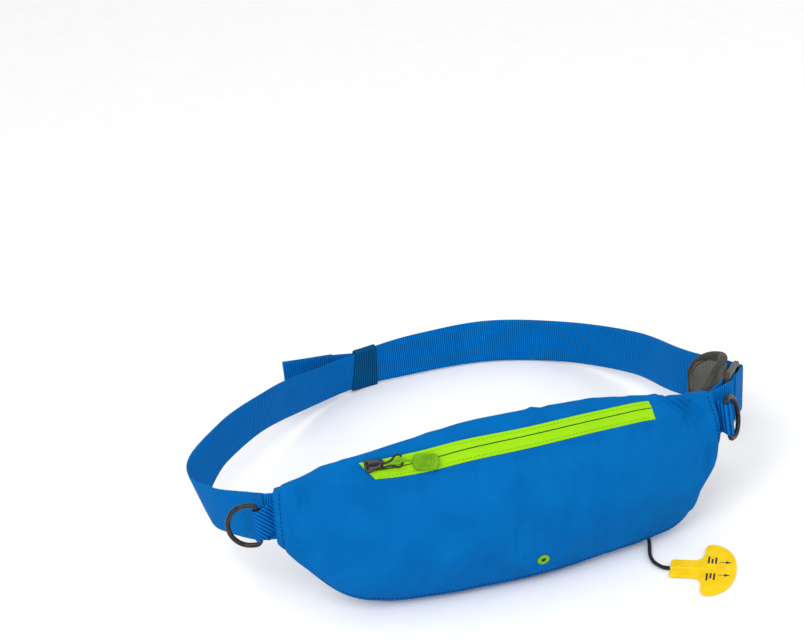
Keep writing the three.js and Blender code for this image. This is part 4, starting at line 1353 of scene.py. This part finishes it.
def makeBelt(f):
    start = []
    for inside in (f["tuck"], 2.5, 0, -3):
        start.append({"p": fromSeam(leftSeam, -inside, webbingFrontLayer), "w": leftSeam["height"]})
    wrap = [barAt(2) - buckleOut * wrapOff]
    wrap += barBend(barAt(1), -buckleOut, -buckleAlong)
    wrap += [barAt(2) + buckleOut * wrapOff]
    wrap = [{"p": p, "w": buckleUp} for p in wrap]
    belt = webbing("beltWebbing", start + loadLayer + wrap + outerLayer + tail, f["width"], f["thick"])
    dress(belt, blueWebbing, replaces=["belt_webbing"])


def makeHem(f):
    kept = [s for s in tail if s["left"] <= f["hemLength"]]
    off = (f["thick"] + f["hemThick"]) / 2 + gap - 0.25
    stations = []
    for i, s in enumerate(kept):
        a, b = kept[max(i - 1, 0)]["p"], kept[min(i + 1, len(kept) - 1)]["p"]
        side = (b - a).normalized().cross(s["w"]).normalized()
        stations.append({"p": s["p"] + side * off, "w": s["w"]})
    hem = webbing("tailHem", stations, f["width"], f["hemThick"])
    dress(hem, blueWebbing, replaces=["tail_hem"])
    outward = (stations[1]["p"] - kept[1]["p"]).normalized()
    lines = []
    for s in (stations[2], stations[-3]):
        for off in (0.75, -0.75):
            line = [s["p"] + s["w"] * blendTo(-17, 17, k / 80) + outward * off for k in range(81)]
            lines += stitchRun([(p, outward) for p in line], 2.4, 1.2, 0)
    dress(manyTubes("hemStitches", lines, 0.25, 5), blueStitch, under=hem)


def makeKeeper(f):
    halfWide = f["width"] / 2 + gap
    inSide = f["thick"] / 2 + gap
    outSide = 1.5 * f["thick"] + f["layerGap"] + gap
    low, high, last = f["keeperAt"] - keeperHalf, f["keeperAt"] + keeperHalf, 24
    cuts = [beltAt(loadLayer, blendTo(low, high, i / last)) for i in range(last + 1)]
    sides = ((-1, 1, 16), (1, 1, 4), (1, -1, 16), (-1, -1, 4))      # corner, then points to the next

    def around(cut, grow):
        corners = []
        for wide, deep, _ in sides:
            off = inSide + grow if deep > 0 else -(outSide + grow)
            corners.append(cut["p"] + cut["w"] * (wide * (halfWide + grow)) + cut["inward"] * off)
        out = []
        for k, (_, _, count) in enumerate(sides):
            a, b = corners[k], corners[(k + 1) % 4]
            out += [a.lerp(b, 0.03 + 0.94 * j / (count - 1)) for j in range(count)]
        return out

    outer = [around(cut, f["keeperWall"] - (0.25 if i in (0, last) else 0)) for i, cut in enumerate(cuts)]
    inner = [around(cut, 0.02) for cut in reversed(cuts)]
    uvs = [(i * mm, j * mm) for i in (*range(last + 1), *range(last, -1, -1)) for j in range(len(outer[0]))]
    keeper = ringLoft("beltKeeper", outer + inner, uvs, closedRun=True, sharpAngle=60)
    dress(keeper, navyElastic, replaces=["belt_keeper"])


makeBelt(beltFacts)
makeHem(beltFacts)
makeKeeper(beltFacts)
print("belt made,", round(beltLength), "mm on its loaded layer")


# Rings on their straps

ringFacts = {
    "high": 37,
    "deep": 28,
    "wire": 4,
    "play": 0.9,
    "strapWidth": 25,
    "reach": 14.5,
}


def ringFrame(seam, turn, reach, drop, lean, pointing):
    middle = fromSeam(seam, 0, (strapFrontLayer + strapBackLayer) / 2)
    centre = middle + heading(turn, 0) * reach - up * drop
    g = Vector(pointing).normalized()
    w = seam["height"].copy()
    w.rotate(Matrix.Rotation(math.radians(lean), 3, "Y"))
    w = (w - g * w.dot(g)).normalized()
    towards = heading(turn, 0)
    towards = (towards - w * towards.dot(w)).normalized()
    return {"centre": centre, "w": w, "g": g, "towards": towards, "across": w.cross(g).normalized()}


leftRing = ringFrame(leftSeam, 182, ringFacts["reach"], 3, -8, (-0.944, 0.33, -0.03))
rightRing = ringFrame(rightSeam, -38, ringFacts["reach"] - 2, 1.5, -2, (0.6, 0.66, -0.28))


def makeRing(name, ring, body, node):
    half = (ringFacts["high"] - ringFacts["wire"]) / 2
    deep = ringFacts["deep"] - ringFacts["wire"]
    corner = 5
    flat = [(0, blendTo(-(half - corner), half - corner, i / 16)) for i in range(17)]
    flat += bend2((0, half - corner), (0, half), (corner, half), 8)
    bow = [math.radians(90 - 5 * i) for i in range(37)]
    flat += [(deep - half + half * math.cos(turn), half * math.sin(turn)) for turn in bow]
    flat += [(corner, -half)] + bend2((corner, -half), (0, -half), (0, -(half - corner)), 8)[:-1]
    line = [ring["centre"] + ring["g"] * x + ring["w"] * y for x, y in flat]
    count = len(line)
    rings = []
    for i, p in enumerate(line):
        ahead = (line[(i + 1) % count] - line[i - 1]).normalized()
        out = ahead.cross(ring["across"]).normalized()
        rings.append([p + (out * x + ring["across"] * y) * (ringFacts["wire"] / 2) for x, y in circle(14)])
    dress(ringLoft(name, rings, closedRun=True), darkMetal, body=body, replaces=[node])


def foldedStrap(name, seam, bend, w, width, thick, layers, lead, material, node):
    def leg(layer):
        out = []
        for inside in (-5, -2.5, 0, lead):
            lean = seam["height"].lerp(w, 0.25 if inside > 0 else 0).normalized()
            out.append({"p": fromSeam(seam, inside, layer), "w": lean})
        return out

    rough = leg(layers[0]) + [{"p": p, "w": w} for p in bend] + leg(layers[1])[::-1]
    stations = []                                     # finer steps along the straight legs
    for a, b in zip(rough, rough[1:]):
        steps = max(1, int((b["p"] - a["p"]).length / 1.2))
        for k in range(steps):
            share = k / steps
            stations.append({"p": a["p"].lerp(b["p"], share), "w": a["w"].lerp(b["w"], share).normalized()})
    stations.append(rough[-1])
    dress(webbing(name, stations, width, thick, 0.35), material, replaces=[node])


def makeRingStrap(name, seam, ring, node, material):
    facing = ring["towards"].cross(ring["w"]).normalized()
    if facing.dot(seam["front"]) < 0:
        facing.negate()
    reach = ringFacts["wire"] / 2 + ringFacts["play"] + pouchFacts["strapThick"] / 2
    bend = [ring["centre"] + (facing * x + ring["towards"] * y) * reach for x, y in circle(36)[:19]]
    foldedStrap(name, seam, bend, ring["w"], ringFacts["strapWidth"], pouchFacts["strapThick"],
                (strapFrontLayer, strapBackLayer), 3, material, node)


makeRing("leftRing", leftRing, "left_d_ring", "left_ring")
makeRing("rightRing", rightRing, "right_d_ring", "right_ring")
makeRingStrap("leftRingStrap", leftSeam, leftRing, "left_ring_strap", blueTwill)
makeRingStrap("rightRingStrap", rightSeam, rightRing, "right_ring_strap", blueStrap)


def makeAnchorStrap():
    def beside(side):
        back = buckleFacts["bar"] / 2 + beltFacts["layerGap"]
        return nearBar + buckleOut * (side * wrapOff) - buckleAlong * back

    bend = [beside(1)] + barBend(nearBar, buckleOut, buckleAlong) + [beside(-1)]
    foldedStrap("anchorStrap", rightSeam, bend, buckleUp, beltFacts["width"], beltFacts["thick"],
                (webbingFrontLayer, webbingBackLayer), 4, blueWebbing, "anchor_strap")


makeAnchorStrap()


# Slide buckle

def makeBuckle(f):
    long = 2 * f["spacing"] + f["bar"]
    outlines = [roundedCorners(long, f["high"], f["round"], 8)]
    for side in (-1, 1):
        middle, half = side * f["spacing"] / 2, (f["spacing"] - f["bar"]) / 2
        tall = beltFacts["width"] / 2 + (1 if side < 0 else 1.4)
        outlines.append([(middle + x, y) for x, y in roundedCorners(2 * half, 2 * tall, 1.2, 4)])
    turn = turnTo(barAt(1), buckleAlong, buckleUp, buckleOut)
    buckle = plate("beltBuckle", outlines, f["thick"], 1.3, turn, 5)
    dress(buckle, greyPlastic, replaces=["belt_buckle"])
    grips = []
    for n in (0, 1, 2):                               # fine grip ridges on the bars' outer faces
        for side in (-1, 1):
            for k in (-1, 0, 1):
                ridge = barAt(n) + buckleAlong * (k * 1.1) + buckleOut * (side * (f["thick"] / 2 + 0.02))
                grips.append([ridge + buckleUp * y for y in (-17, -6, 6, 17)])
    dress(manyTubes("buckleGrips", grips, 0.28, 6), greyPlastic, under=buckle)


makeBuckle(buckleFacts)


# Comfort pad behind the buckle

padFacts = {"height": 56, "thick": 7, "channel": 5.5}
padRows = table(
    "right back rise height",
    (-0.02, 0.2, 0, 0.66),
    (0.26, 0.5, 0, 0.82),
    (0.45, 0.72, -0.03, 0.9),
    (0.585, 0.98, -0.09, 0.9),
    (0.46, 1.2, -0.13, 0.82),
    (0.28, 1.3, -0.16, 0.62),
    (0.17, 1.28, -0.17, 0.34),
)
padHeights = [{"along": i / (len(padRows) - 1), "height": row["height"]} for i, row in enumerate(padRows)]


def padSection(path, u):
    f = padFacts
    high = readTable(padHeights, "height", u) * f["height"]
    side = path.ahead(u).cross(up).normalized()
    return path.at(u), side, high, f["thick"] / 2 * (1 - 0.55 * u ** 6)


def padHalf(thick, v):
    # half the pad's thickness, thinner towards its edges
    return thick * (0.3 + 0.7 * math.sqrt(max(1 - v * v * 0.98, 0)))


def makePadBody(f, path):
    rows, columns, long = 90, 34, path.length()
    rings, uvs = [], []
    for i in range(rows + 1):
        u = i / rows
        middle, side, high, thick = padSection(path, u)
        ring = []
        for sign, order in ((1, range(columns + 1)), (-1, range(columns, -1, -1))):
            for j in order:
                v = 2 * j / columns - 1
                fromEdge = (1 - abs(v)) * high / 2
                half = padHalf(thick, v) + 0.25 * noise.noise((middle + up * v * high / 2) * 0.09)
                half -= 0.9 * hump(fromEdge, f["channel"], 1.1) * smooth((0.97 - u) / 0.05)    # sewn channel
                ring.append(middle + up * (v * high / 2) + side * (sign * half))
                uvs.append((u * long * mm, v * high / 2 * mm))
        rings.append(ring)
    return ringLoft("comfortPad", rings, uvs)


def makeBinding(path):
    # bound edge: up one side, round the end and back
    line, count = [], 150
    for i in range(count + 1):
        u = min(i, count - i) / count * 2
        v = 1 if i < count / 2 else -1
        middle, side, high, thick = padSection(path, u)
        fat = 2.5 - 1.2 * smooth((u - 0.72) / 0.16) + 2.3 * hump(u, 0.52, 0.15)
        line.append((middle + up * (v * (high / 2 - fat + 0.9)), side, thick, fat))
    rings = []
    for i, (p, side, thick, fat) in enumerate(line):
        ahead = (line[min(i + 1, count)][0] - line[max(i - 1, 0)][0]).normalized()
        out = ahead.cross(side).normalized()
        wide = thick * 0.42 + 0.52 * fat
        rings.append([p + side * (wide * x) + out * (fat * y) for x, y in circle(16)])
    return ringLoft("padBinding", rings)


def padSeams(path):
    lines = []
    for level in (5.2, 7.4):
        for sign in (1, -1):
            line = []
            for i in range(500):
                middle, side, high, thick = padSection(path, 0.06 + 0.9 * i / 499)
                v = 1 - 2 * level / high
                off = sign * (padHalf(thick, v) - 0.75)
                line.append((middle + up * (v * high / 2) + side * off, side * sign))
            lines += stitchRun(line, 2.3, 1.1, 0.2)
    return manyTubes("padStitches", lines, 0.3, 5)


def makePad(f):
    foot = rightSeam["centre"]
    path = Path([foot + Vector((row["right"], row["back"], row["rise"])) * f["height"] for row in padRows])
    pad = dress(makePadBody(f, path), padFace, replaces=["comfort_pad"])
    dress(makeBinding(path), padRim, under=pad)
    dress(padSeams(path), darkStitch, under=pad)


makePad(padFacts)
print("buckle, straps, rings and pad made")


# Floor and light

stageFacts = {
    "floorSize": 6.0,
    "under": 0.0004,      # just below the pieces
    "sweep": 0.9,         # how high the floor rises far behind
    "sky": 0.84,
    "lights": table(
        "name spot size power",
        ("keyLight", (-0.9, -1.1, 1.7), 1.4, 20),
        ("fillLight", (1.3, -0.7, 1.2), 1.6, 5),
    ),
}


def makeStage(f):
    half, count = f["floorSize"] / 2, 24
    points = []
    for i in range(count + 1):
        t = i / count
        z = -f["under"] + f["sweep"] * smooth((t - 0.8) / 0.2) ** 2
        points += [Vector((x, blendTo(-half, half, t), z)) for x in (-half, half)]
    floor = makeMesh("tableTop", points, gridFaces(count + 1, 2), inPlace=True)
    floor.data.materials.append(paleFloor)
    world = bpy.data.worlds.new("softSky")
    world.use_nodes = True
    world.node_tree.nodes["Background"].inputs["Color"].default_value = (1, 1, 1, 1)
    world.node_tree.nodes["Background"].inputs["Strength"].default_value = f["sky"]
    bpy.context.scene.world = world
    for light in f["lights"]:
        lamp = bpy.data.lights.new(light["name"], "AREA")
        lamp.size = light["size"]
        lamp.energy = light["power"]
        holder = newObject(light["name"], lamp)
        holder.location = light["spot"]
        aim = Vector((0, 0, 0.05)) - Vector(light["spot"])
        holder.rotation_euler = aim.to_track_quat("-Z", "Y").to_euler()


makeStage(stageFacts)
print("floor and lights set")
